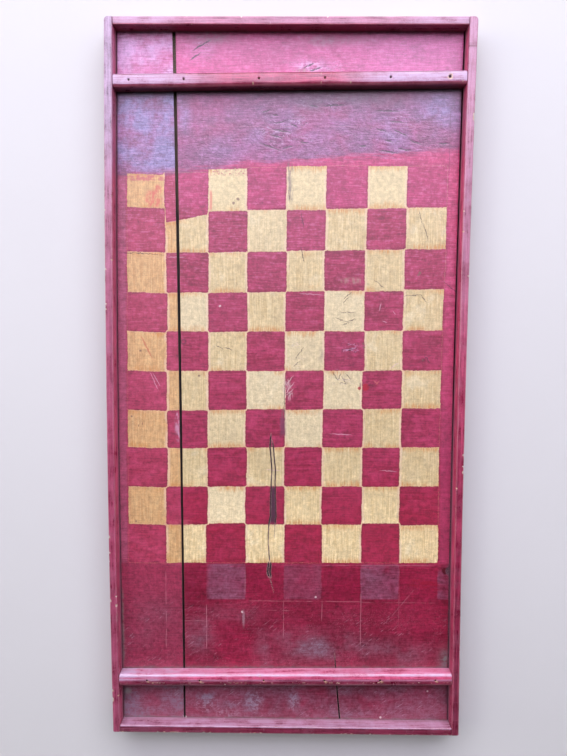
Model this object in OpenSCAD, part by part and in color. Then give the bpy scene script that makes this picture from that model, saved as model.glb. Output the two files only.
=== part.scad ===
// Checkerboard: a two-board panel in a raised nailed rim, with a cross batten near each end that makes a tray there.
// The board lies on its back with the playing surface up. +Y runs toward the top tray, +X to the right.
// The origin is the middle of the underside.

/* [Overall] */
// Length of the board over the two rails
board_l = 686; // [560:1:800]
// Width of the board over the two stiles
board_w = 346.2; // [325:0.1:400]
// Height of the rim above the surface that the board lies on
rim_h = 25; // [22:0.5:32]

/* [Rim] */
// Thickness of the two stiles at the middle of their length
stile_t = 7.5; // [6:0.1:10]
// How much thicker the stiles are at the top end than at the bottom end
stile_taper = 0.9; // [0:0.1:1.5]
// Thickness of the two rails
rail_t = 7.5; // [6:0.1:10]
// How far the stiles curve sideways between their ends
stile_crook = 2.3; // [0:0.1:4]
// How far the rim leans to the right from the bottom end to the top end
rack = 0.9; // [0:0.1:2]
// Radius of the stiles' outer corners at the top end
corner_r = 3; // [1:0.5:5]
// Radius of the worn long edges of the rim
arris_r = 0.9; // [0.4:0.1:1.5]

/* [Panel] */
// Thickness of the two panel boards
panel_t = 13; // [11:0.5:15]
// Middle of the open joint between the boards, left of the centre line
joint_x = 105; // [95:0.1:110]
// How far the joint drifts to the right from the top end to the bottom end
joint_slant = 6.4; // [0:0.1:10]
// How far the joint curves to the right between its ends
joint_bow = 0.8; // [0:0.1:1.5]
// Width of the open joint at the top end
joint_gap_top = 2.9; // [0.5:0.1:3.5]
// Width of the open joint at the bottom end
joint_gap_bottom = 1.5; // [0.5:0.1:3]
// Gap that shrinkage has left between the panel and the left stile
left_gap = 0.9; // [0.2:0.1:2]
// Gap that shrinkage has left between the panel and the right stile
right_gap = 1.4; // [0.2:0.1:2]
// Length of the tongue on the wide board
tongue_l = 7; // [5:0.5:9]
// Thickness of the tongue
tongue_t = 4; // [3:0.5:5]
// Width of the split at the wide board's bottom end
split_w = 1.3; // [0.5:0.1:2]
// Length of the split from the bottom end
split_l = 64; // [30:1:90]

/* [Battens] */
// Width of each batten
batten_w = 12.6; // [10:0.1:16]
// Distance of the battens' middle lines from the board's middle
batten_y = 288.3; // [230:0.1:300]
// How far both battens rise toward the top end, from left to right
batten_rise = 3.9; // [0:0.1:4]
// Height of a batten above the panel
batten_h = 11.8; // [8:0.1:12]
// Radius of a batten's two upper edges
batten_r = 3.4; // [1:0.1:5]

/* [Nails] */
// Diameter of the brads in the battens
brad_d = 1.5; // [1.2:0.1:2]
// How far the brads' heads are sunk
brad_sunk = 0.6; // [0.2:0.1:1.5]
// Diameter of the rim nails' shanks
nail_d = 1.6; // [1.3:0.1:2.2]
// Diameter of the rim nails' heads
nail_head_d = 3.4; // [2.5:0.1:4.5]
// Length of the rim nails
nail_l = 30; // [25:1:32]

/* [Hidden] */
$fn = 32;

red = [0.60, 0.16, 0.28];
deep_red = [0.52, 0.10, 0.19];
iron = [0.16, 0.13, 0.12];

half_l = board_l / 2;
half_w = board_w / 2;
panel_end = half_l - rail_t;
nail_z = panel_t / 2;
eps = 0.02;
// Brads across each batten, from left to right, spaced by eye and not evenly
top_brad_x = [-148, -97, -27.5, 33.5, 94, 148.5];
bottom_brad_x = [-137, -85, -21.5, 38.5, 93.5, 148];
// Nails along each stile, clear of the battens' brads
stile_nail_y = [for (i = [-2.5:1:2.5]) i * 120 * board_l / 686];
// Nails across each rail: one in the narrow board and three in the wide one
rail_nail_x = [-138, -70, 25, 120];
// Heights of the two nails in each corner
corner_nail_z = [0.26 * rim_h, 0.74 * rim_h];

// Sideways curve of the rim at a distance y from the middle, toward -X
function crook(y) = stile_crook * (1 - pow(y / half_l, 2));
function stile_thick(y) = stile_t + stile_taper * y / board_l;
function left_out(y) = -half_w + stile_crook - crook(y) + rack * y / board_l;
function left_in(y) = left_out(y) + stile_thick(y);
function right_out(y) = half_w - rack / 2 - crook(y) + rack * y / board_l;
function right_in(y) = right_out(y) - stile_thick(y);
// Middle line of a batten at x. m is 1 for the top batten and -1 for the bottom one
function batten_mid(x, m) = m * batten_y + batten_rise * x / board_w;
// Middle and half width of the open joint at y
function joint_mid(y) = -joint_x - joint_slant * y / board_l + joint_bow * (1 - pow(y / half_l, 2));
function joint_half(y) = (joint_gap_bottom + (joint_gap_top - joint_gap_bottom) * (y / board_l + 0.5)) / 2;

// Edge of the joint at y. m is 1 for the wide board's edge and -1 for the narrow board's
function joint_point(y, m) = [joint_mid(y) + m * joint_half(y), y];

// Stations along the length, where a curved edge is followed
stations = [for (i = [0:16]) -1 + i / 8];

// Points of a w by h rectangle from the origin whose corners are rounded to radius r
function arc(cx, cy, r, a0) = [for (i = [0:3]) [cx + r * cos(a0 + 30 * i), cy + r * sin(a0 + 30 * i)]];
function eased(w, h, r) = concat(arc(r, r, r, 180), arc(w - r, r, r, 270), arc(w - r, h - r, r, 0), arc(r, h - r, r, 90));

// A bar along Y between the two side lines of a stile, with its long edges eased. m is 1 for the right stile and -1 for the left
module curved_bar(m) {
    n = len(stations);
    k = len(eased(stile_t, rim_h, arris_r));
    points = [for (s = stations) let (y = s * half_l) for (p = eased(stile_thick(y), rim_h, arris_r))
        [(m > 0 ? right_in(y) : left_out(y)) + p[0], y, p[1]]];
    sides = [for (j = [0:n - 2]) for (i = [0:k - 1])
        [j * k + i, j * k + (i + 1) % k, (j + 1) * k + (i + 1) % k, (j + 1) * k + i]];
    polyhedron(points = points,
               faces = concat([[for (i = [k - 1:-1:0]) i]], sides, [[for (i = [0:k - 1]) (n - 1) * k + i]]),
               convexity = 4);
}

// What lies between the two stiles
module between_stiles(h, left = 0, right = 0) {
    linear_extrude(height = h)
        polygon(concat([for (s = stations) [left_in(s * half_l) + left, s * half_l]],
                       [for (i = [16:-1:0]) [right_in(stations[i] * half_l) - right, stations[i] * half_l]]));
}

// Outer top corner that is rounded away. m is 1 for the right side and -1 for the left
module corner_cut(m) {
    x = m > 0 ? right_out(half_l) : left_out(half_l);
    difference() {
        translate([m > 0 ? x - corner_r : x - 1, half_l - corner_r, -1])
            cube([corner_r + 1, corner_r + 1, rim_h + 2]);
        translate([x - m * corner_r, half_l - corner_r, -2]) cylinder(r = corner_r, h = rim_h + 4);
    }
}

// Brad, head up, its top at the origin and its point down
module brad(l) {
    translate([0, 0, -1]) cylinder(d = brad_d, h = 1);
    translate([0, 0, -l + 2]) cylinder(d = brad_d - 0.3, h = l - 3 + eps);
    translate([0, 0, -l]) cylinder(d1 = 0.3, d2 = brad_d - 0.3, h = 2);
}

// Flat-headed nail, head up, its top at the origin and its point down
module nail() {
    translate([0, 0, -0.8]) cylinder(d = nail_head_d, h = 0.8);
    translate([0, 0, -nail_l + 2.5]) cylinder(d = nail_d, h = nail_l - 3.3 + eps);
    translate([0, 0, -nail_l]) cylinder(d1 = 0.3, d2 = nail_d, h = 2.5);
}

brad_l = batten_h + panel_t - brad_sunk - 1.8;

// Brads of one batten at their places. m is 1 for the top batten and -1 for the bottom one
module batten_brads(xs, m) {
    for (x = xs) translate([x, batten_mid(x, m), panel_t + batten_h - brad_sunk]) brad(brad_l);
}

// Round recess that each sunk brad leaves in the batten's top
module brad_recesses(xs, m) {
    for (x = xs) translate([x, batten_mid(x, m), panel_t + batten_h - brad_sunk]) cylinder(d = brad_d, h = brad_sunk + 1);
}

// Nails through a stile into the panel's edge
module stile_nails(m) {
    for (y = stile_nail_y)
        translate([m > 0 ? right_out(y) - 0.15 : left_out(y) + 0.15, y, nail_z]) rotate([0, m * 90, 0]) nail();
}

// Nails through a rail into the panel's end
module rail_nails(m) {
    for (x = rail_nail_x)
        translate([x, m * (half_l - 0.15), nail_z]) rotate([-m * 90, 0, 0]) nail();
}

// Nails of one corner, through the stile into the rail's end
module corner_nails(mx, my) {
    y = my * (half_l - rail_t / 2);
    for (z = corner_nail_z)
        translate([mx > 0 ? right_out(y) - 0.15 : left_out(y) + 0.15, y, z]) rotate([0, mx * 90, 0]) nail();
}

// Shallow recess that the set head of a rim nail leaves in the wood
module head_recess() { cylinder(d = nail_head_d, h = 1); }

module stile_recesses(m) {
    for (y = stile_nail_y)
        translate([m > 0 ? right_out(y) - 0.15 : left_out(y) + 0.15, y, nail_z]) rotate([0, m * 90, 0]) head_recess();
    for (my = [-1, 1]) {
        y = my * (half_l - rail_t / 2);
        for (z = corner_nail_z)
            translate([m > 0 ? right_out(y) - 0.15 : left_out(y) + 0.15, y, z]) rotate([0, m * 90, 0]) head_recess();
    }
}

module rail_recesses(m) {
    for (x = rail_nail_x)
        translate([x, m * (half_l - 0.15), nail_z]) rotate([-m * 90, 0, 0]) head_recess();
}

// Groove side of the panel: the board left of the open joint
module narrow_panel_board() {
    color(red) difference() {
        intersection() {
            between_stiles(panel_t, left_gap, right_gap);
            linear_extrude(height = panel_t)
                polygon(concat([[-half_w, panel_end], [-half_w, -panel_end]],
                               [for (s = stations) joint_point(s * panel_end, -1)]));
        }
        // groove, a little wider and deeper than the tongue
        translate([0, 0, panel_t / 2 - tongue_t / 2 - 0.2]) linear_extrude(height = tongue_t + 0.4)
            polygon(concat([for (s = stations) joint_point(s * half_l, -1) - [tongue_l, 0]],
                           [for (i = [16:-1:0]) [joint_mid(stations[i] * half_l) + 1, stations[i] * half_l]]));
        stile_nails(-1);
        rail_nails(1);
        rail_nails(-1);
        batten_brads([top_brad_x[0]], 1);
        batten_brads([bottom_brad_x[0]], -1);
    }
}

// Tongue side of the panel: the board right of the open joint
module wide_panel_board() {
    color(red) difference() {
        union() {
            intersection() {
                between_stiles(panel_t, left_gap, right_gap);
                linear_extrude(height = panel_t)
                    polygon(concat([[half_w, -panel_end], [half_w, panel_end]],
                                   [for (i = [16:-1:0]) joint_point(stations[i] * panel_end, 1)]));
            }
            translate([0, 0, panel_t / 2 - tongue_t / 2]) linear_extrude(height = tongue_t)
                polygon(concat([for (s = stations) joint_point(s * panel_end, 1) - [tongue_l, 0]],
                               [for (i = [16:-1:0]) joint_point(stations[i] * panel_end, 1) + [1, 0]]));
        }
        // split from the bottom end, running along the grain and closing upward
        translate([0, 0, -1]) linear_extrude(height = panel_t + 2)
            polygon([[54.9 - split_w / 2, -panel_end - 1], [54.9 + split_w / 2, -panel_end - 1], [49.4, -panel_end + split_l]]);
        stile_nails(1);
        rail_nails(1);
        rail_nails(-1);
        batten_brads([for (i = [1:5]) top_brad_x[i]], 1);
        batten_brads([for (i = [1:5]) bottom_brad_x[i]], -1);
    }
}

module stile(m) {
    difference() {
        curved_bar(m);
        corner_cut(m);
        stile_nails(m);
        corner_nails(m, 1);
        corner_nails(m, -1);
        stile_recesses(m);
    }
}
module left_stile() { color(deep_red) stile(-1); }
module right_stile() { color(deep_red) stile(1); }

module rail(m) {
    difference() {
        intersection() {
            between_stiles(rim_h);
            // section of the rail in Y and Z, run along X
            translate([-half_w, m > 0 ? half_l - rail_t : -half_l, 0]) rotate([90, 0, 90])
                linear_extrude(height = board_w) polygon(eased(rail_t, rim_h, arris_r));
        }
        rail_nails(m);
        rail_recesses(m);
        corner_nails(1, m);
        corner_nails(-1, m);
    }
}
module top_rail() { color(deep_red) rail(1); }
module bottom_rail() { color(deep_red) rail(-1); }

module batten(xs, m) {
    difference() {
        intersection() {
            translate([0, 0, panel_t]) between_stiles(batten_h);
            // section of the batten in Y and Z, run along X and then turned by the batten's slant
            translate([0, m * batten_y, panel_t]) rotate([0, 0, atan(batten_rise / board_w)])
                translate([-half_w - 2, -batten_w / 2, 0]) rotate([90, 0, 90])
                linear_extrude(height = board_w + 4) union() {
                    square([batten_w, batten_h - batten_r]);
                    translate([batten_r, 0]) square([batten_w - 2 * batten_r, batten_h]);
                    for (y = [batten_r, batten_w - batten_r]) translate([y, batten_h - batten_r]) circle(r = batten_r);
                }
        }
        batten_brads(xs, m);
        brad_recesses(xs, m);
    }
}
module top_batten() { color(red) batten(top_brad_x, 1); }
module bottom_batten() { color(red) batten(bottom_brad_x, -1); }

module top_batten_brads() { color(iron) batten_brads(top_brad_x, 1); }
module bottom_batten_brads() { color(iron) batten_brads(bottom_brad_x, -1); }
module left_stile_nails() { color(iron) stile_nails(-1); }
module right_stile_nails() { color(iron) stile_nails(1); }
module top_rail_nails() { color(iron) rail_nails(1); }
module bottom_rail_nails() { color(iron) rail_nails(-1); }
module top_left_corner_nails() { color(iron) corner_nails(-1, 1); }
module top_right_corner_nails() { color(iron) corner_nails(1, 1); }
module bottom_left_corner_nails() { color(iron) corner_nails(-1, -1); }
module bottom_right_corner_nails() { color(iron) corner_nails(1, -1); }

narrow_panel_board();
wide_panel_board();
left_stile();
right_stile();
top_rail();
bottom_rail();
top_batten();
bottom_batten();
top_batten_brads();
bottom_batten_brads();
left_stile_nails();
right_stile_nails();
top_rail_nails();
bottom_rail_nails();
top_left_corner_nails();
top_right_corner_nails();
bottom_left_corner_nails();
bottom_right_corner_nails();
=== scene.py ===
import math

import bpy
import numpy as np
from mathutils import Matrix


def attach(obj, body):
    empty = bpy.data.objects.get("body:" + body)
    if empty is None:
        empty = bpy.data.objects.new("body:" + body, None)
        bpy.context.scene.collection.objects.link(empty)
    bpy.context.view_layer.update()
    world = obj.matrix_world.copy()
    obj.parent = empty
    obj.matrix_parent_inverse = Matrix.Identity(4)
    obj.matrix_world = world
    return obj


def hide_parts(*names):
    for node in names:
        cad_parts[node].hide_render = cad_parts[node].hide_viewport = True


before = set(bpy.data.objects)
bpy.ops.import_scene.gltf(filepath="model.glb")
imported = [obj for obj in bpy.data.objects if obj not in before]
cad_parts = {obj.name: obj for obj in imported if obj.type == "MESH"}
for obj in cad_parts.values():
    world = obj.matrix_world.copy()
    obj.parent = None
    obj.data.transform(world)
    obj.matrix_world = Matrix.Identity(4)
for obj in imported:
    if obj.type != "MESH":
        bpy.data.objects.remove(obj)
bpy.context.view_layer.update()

# ------------------------------------------------------------------ sizes, in millimetres
HL, HW = 343.0, 173.1            # half length over the rails, half width over the stiles
STILE, TAPER, RACK, CROOK = 7.5, 0.9, 0.9, 2.3
RAIL, RIM = 7.5, 25.0
PT, PEND = 13.0, 335.5           # panel thickness, and where the panel ends
BAT_Y, BAT_RISE, BAT_W, BAT_H = 288.3, 3.9, 12.6, 11.8
DX = 1.15                        # the painted lines were measured from another middle line
TOP_BRADS = [-148, -97, -27.5, 33.5, 94, 148.5]
BOTTOM_BRADS = [-137, -85, -21.5, 38.5, 93.5, 148]
STILE_NAILS = [-300, -180, -60, 60, 180, 300]
RAIL_NAILS = [-138, -70, 25, 120]
CORNER_Z = [6.5, 18.5]


def crook(y):
    return CROOK * (1 - (y / HL) ** 2)


def stile_thick(y):
    return STILE + TAPER * y / (2 * HL)


def left_out(y):
    return -HW + CROOK - crook(y) + RACK * y / (2 * HL)


def left_in(y):
    return left_out(y) + stile_thick(y)


def right_out(y):
    return HW - RACK / 2 - crook(y) + RACK * y / (2 * HL)


def right_in(y):
    return right_out(y) - stile_thick(y)


def joint_mid(y):
    return -105 - 6.4 * y / (2 * HL) + 0.8 * (1 - (y / HL) ** 2)


def joint_half(y):
    return (1.5 + 1.4 * (y / (2 * HL) + 0.5)) / 2


def batten_mid(x, m):
    return m * BAT_Y + BAT_RISE * x / (2 * HW)


# ------------------------------------------------------------------ seeded noise for shapes
_grads = {}


def noise(x, y, seed):
    """Smooth noise of about -0.7 to 0.7 with features one unit across."""
    if seed not in _grads:
        a = np.random.default_rng(1000 + seed).uniform(0, 2 * math.pi, (256, 256))
        _grads[seed] = (np.cos(a), np.sin(a))
    gx, gy = _grads[seed]
    x, y = np.broadcast_arrays(np.asarray(x, float), np.asarray(y, float))
    xi, yi = np.floor(x).astype(int), np.floor(y).astype(int)
    fx, fy = x - xi, y - yi

    def dot(i, j):
        a, b = (xi + i) & 255, (yi + j) & 255
        return gx[a, b] * (fx - i) + gy[a, b] * (fy - j)

    u = fx ** 3 * (fx * (fx * 6 - 15) + 10)
    v = fy ** 3 * (fy * (fy * 6 - 15) + 10)
    low = dot(0, 0) * (1 - u) + dot(1, 0) * u
    high = dot(0, 1) * (1 - u) + dot(1, 1) * u
    return low * (1 - v) + high * v


def fbm(x, y, seed, octaves=4, gain=0.5):
    total, amp = 0.0, 1.0
    for k in range(octaves):
        total = total + amp * noise(x * 2 ** k, y * 2 ** k, seed + 17 * k)
        amp *= gain
    return total


def step(x, a, b):
    t = np.clip((x - a) / (b - a), 0, 1)
    return t * t * (3 - 2 * t)


def bell(x, w):
    return np.exp(-(x / w) ** 2)


# ------------------------------------------------------------------ the painted lines
# Vertical lines 1 to 7 in each of the ten rows, and horizontal lines 1 to 9 in each of the eight columns
VERT = np.array([
    [-119.7, -76.8, -40.6, -2.5, 34.8, 75.0, 111.6], [-118.2, -77.9, -39.5, -2.9, 35.5, 73.7, 112.4],
    [-118.5, -76.8, -40.4, -1.7, 34.0, 73.4, 110.7], [-116.9, -78.2, -39.5, -3.5, 35.0, 72.7, 111.2],
    [-118.8, -77.3, -40.9, -3.1, 34.4, 74.3, 110.1], [-118.1, -78.3, -40.3, -3.0, 34.8, 71.8, 110.8],
    [-118.8, -78.3, -42.1, -2.7, 33.4, 73.6, 110.4], [-117.8, -79.3, -40.1, -3.7, 33.8, 72.8, 110.3],
    [-120.2, -78.5, -42.0, -2.7, 33.3, 73.7, 110.0], [-119.6, -80.9, -41.0, -3.4, 34.7, 72.9, 111.4]]) + DX
HORI = np.array([
    [173.4, 162.4, 170.3, 170.9, 171.5, 172.2, 173.3, 173.6], [130.7, 131.1, 130.6, 132.3, 132.4, 133.7, 133.7, 135.1],
    [92.7, 92.0, 93.2, 92.7, 94.5, 94.6, 95.0, 96.1], [54.0, 55.6, 54.5, 55.8, 55.3, 56.4, 56.3, 57.5],
    [16.5, 16.4, 17.5, 16.8, 18.1, 17.4, 18.5, 18.2], [-22.6, -21.6, -21.5, -19.9, -20.9, -19.5, -19.6, -18.2],
    [-58.6, -59.6, -58.0, -58.6, -57.2, -57.8, -56.8, -57.4], [-98.6, -97.2, -97.7, -96.4, -96.9, -96.0, -96.7, -95.2],
    [-135.6, -136.2, -134.0, -135.5, -134.3, -135.1, -132.8, -135.1]])
TOPS = np.array([204.2, 206.0, 209.3, 211.0, 212.3, 212.5, 212.5, 212.5])   # row 0's upper edge in each column
LEFT = np.array([[-172, -157.6], [-112, -157.3], [-32, -157.0], [37, -156.5], [114, -155.8], [203, -154.9]])
RIGHT = np.array([[-165, 149.5], [-59, 148.0], [9, 148.4], [67, 148.5], [115, 149.8], [172, 150.3]])
BOTTOM = (-175.0, -172.6)
FRESH = np.array([[-165, 203.0], [-142, 203.5], [-47, 213.0], [10, 218.0], [85, 222.5], [152, 227.5], [170, 228.5]])


# short creases in the wrinkled paint, from one point to another
CREASES = ((-14.6, 246.5, 1.5, 243.8), (2.4, 251.2, 8.0, 248.9), (-14.7, 259.4, -10.0, 259.4), (-26.9, 233.5, -7.9, 227.1), (11.0, 234.6, 18.6, 233.7),
           (20.2, 268.6, 27.7, 266.8), (31.5, 267.8, 54.1, 269.2), (82.4, 263.7, 105.1, 263.3), (95.8, 254.1, 108.1, 253.2), (116.0, 235.7, 125.5, 233.0),
           (143.4, 233.5, 150.9, 233.5), (67.8, 231.0, 73.5, 231.0), (-17.0, 241.0, -6.0, 238.5), (-24.0, 262.5, -18.0, 264.0), (-5.0, 228.5, 4.0, 231.0),
           (84.0, 247.0, 92.0, 244.5), (100.0, 246.0, 112.0, 241.0), (92.0, 236.5, 99.0, 235.0), (86.0, 227.0, 104.0, 224.5), (104.0, 229.0, 116.0, 227.0),
           (-12.0, 252.0, -3.0, 254.0), (-93.0, 309.6, -83.5, 315.9), (-90.1, 318.7, -74.1, 327.7), (14.0, 303.0, 23.0, 306.5), (20.0, 300.0, 30.0, 303.0))


def lines_at(x, y):
    """Column and row coordinates of painted squares at x, y: whole numbers lie on the painted lines."""
    shape = x.shape
    x, y = x.ravel(), y.ravel()
    left = np.interp(y, LEFT[:, 0], LEFT[:, 1]) + DX
    right = np.interp(y, RIGHT[:, 0], RIGHT[:, 1]) + DX
    bottom = np.interp(x, [-150, 150], BOTTOM)
    mean_h = np.vstack([TOPS[None], HORI, np.full((1, 8), -173.8)])
    tilt = np.gradient(HORI, axis=1).mean(0)            # how much the lines rise from one column to the next
    col_mid = np.array([-137, -98, -59, -21.5, 16.5, 54.5, 93.5, 130.5]) + DX
    row = np.zeros(x.size, int)
    col = np.clip(np.searchsorted(VERT.mean(0), x), 0, 7)
    for _ in range(2):
        rise = np.tile(tilt, (11, 1)) / 38.0
        rise[1, 1] = 7.7 / 40.3
        h = mean_h.T[col] + rise.T[col] * (x - col_mid[col])[:, None]
        h[:, 10] = bottom
        row = np.clip((y[:, None] < h[:, 1:10]).sum(1), 0, 9)
        v = VERT[row]
        col = (x[:, None] > v).sum(1)
    edges = np.hstack([left[:, None], VERT[row], right[:, None]])
    pitch = 38.4
    i = np.arange(x.size)
    u = col + (x - edges[i, col]) / (edges[i, col + 1] - edges[i, col])
    u = np.where(x < left, (x - left) / pitch, u)
    u = np.where(x > right, 8 + (x - right) / pitch, u)
    v = row + (h[i, row] - y) / (h[i, row] - h[i, row + 1])
    v = np.where(y > h[:, 0], (h[:, 0] - y) / pitch, v)
    v = np.where(y < bottom, 10 + (bottom - y) / pitch, v)
    return u.reshape(shape), v.reshape(shape)


# ------------------------------------------------------------------ mesh making
def sweep(name, P, attrs=None, sharp=38, segments=1, close_ends=True):
    """Joins the closed loops P[row, col] into one solid with flat ends. Millimetres in, metres out."""
    rows, cols = P.shape[:2]
    r, c = np.meshgrid(np.arange(rows - 1), np.arange(cols), indexing="ij")
    n = (c + 1) % cols
    quads = np.stack([r * cols + c, r * cols + n, (r + 1) * cols + n, (r + 1) * cols + c], -1).reshape(-1, 4)
    first, last = P[0], P[-1]
    step_dir = P[1:].reshape(-1, 3).mean(0) - P[:-1].reshape(-1, 3).mean(0)
    area = np.cross(first, np.roll(first, -1, 0)).sum(0)
    flip = float(area @ step_dir) > 0
    if not flip:
        pass
    else:
        quads = quads[:, ::-1]
    start, end = np.arange(cols), (rows - 1) * cols + np.arange(cols)
    caps = [start, end[::-1]] if not flip else [start[::-1], end]
    faces = quads.tolist() + ([c_.tolist() for c_ in caps] if close_ends else [])
    me = bpy.data.meshes.new(name)
    me.from_pydata((P.reshape(-1, 3) * 0.001).tolist(), [], faces)
    # unrolled map for baking, cut across into segments that lie side by side
    ring = np.linalg.norm(np.roll(P, -1, 1) - P, axis=2).mean(0)
    u0 = np.concatenate([[0], np.cumsum(ring)])
    along = np.concatenate([[0], np.cumsum(np.linalg.norm(np.diff(P, axis=0), axis=2).mean(1))])
    per = int(math.ceil((rows - 1) / segments))
    girth, length = u0[-1], max(along[min((k + 1) * per, rows - 1)] - along[k * per] for k in range(segments))
    pad = 0.01 * max(girth * segments, length)
    wide, tall = segments * (girth + pad) + pad, length + 3 * pad + 30
    s = 1.0 / max(wide, tall)
    seg = r // per
    base_u = pad + seg * (girth + pad)
    base_v = along[r] - along[seg * per] + pad
    next_v = along[r + 1] - along[seg * per] + pad
    uv = np.stack([
        np.stack([base_u + u0[c], base_v], -1), np.stack([base_u + u0[c + 1], base_v], -1),
        np.stack([base_u + u0[c + 1], next_v], -1), np.stack([base_u + u0[c], next_v], -1)], 2).reshape(-1, 4, 2)
    if flip:
        uv = uv[:, ::-1]
    layer = me.uv_layers.new(name="OFBake")
    flat = [uv.reshape(-1, 2) * s]
    if close_ends:
        spread = np.ptp(first, axis=0)
        ax = np.argsort(-spread)[:2]
        k = min(1.0, (wide / 2 - 2 * pad) / max(spread[ax[0]], 1), 26.0 / max(spread[ax[1]], 1))
        for q, (idx, ends) in enumerate(zip(caps, (first, last))):
            pts = P.reshape(-1, 3)[idx][:, ax]
            pts = (pts - pts.min(0)) * k + [pad + q * wide / 2, length + 2 * pad]
            flat.append(pts * s)
    layer.data.foreach_set("uv", np.concatenate(flat).astype(np.float32).ravel())
    for key, value in (attrs or {}).items():
        a = me.attributes.new(key, "FLOAT", "POINT")
        a.data.foreach_set("value", np.ascontiguousarray(np.broadcast_to(value, (rows, cols)), np.float32).ravel())
    me.validate()
    me.shade_smooth()
    me.set_sharp_from_angle(angle=math.radians(sharp))
    ob = bpy.data.objects.new(name, me)
    bpy.context.scene.collection.objects.link(ob)
    return ob


def dress(ob, mat, slot, *nodes):
    ob.data.materials.append(mat)
    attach(ob, "root")
    if nodes:
        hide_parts(*nodes)
    return ob


# ------------------------------------------------------------------ node graphs
class Sock:
    def __init__(self, g, s):
        self.g, self.s = g, s

    def __add__(self, o): return self.g.math("ADD", self, o)
    def __radd__(self, o): return self.g.math("ADD", self, o)
    def __sub__(self, o): return self.g.math("SUBTRACT", self, o)
    def __rsub__(self, o): return self.g.math("SUBTRACT", o, self)
    def __mul__(self, o): return self.g.math("MULTIPLY", self, o)
    def __rmul__(self, o): return self.g.math("MULTIPLY", self, o)
    def __truediv__(self, o): return self.g.math("DIVIDE", self, o)
    def __neg__(self): return self.g.math("MULTIPLY", self, -1.0)


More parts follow.
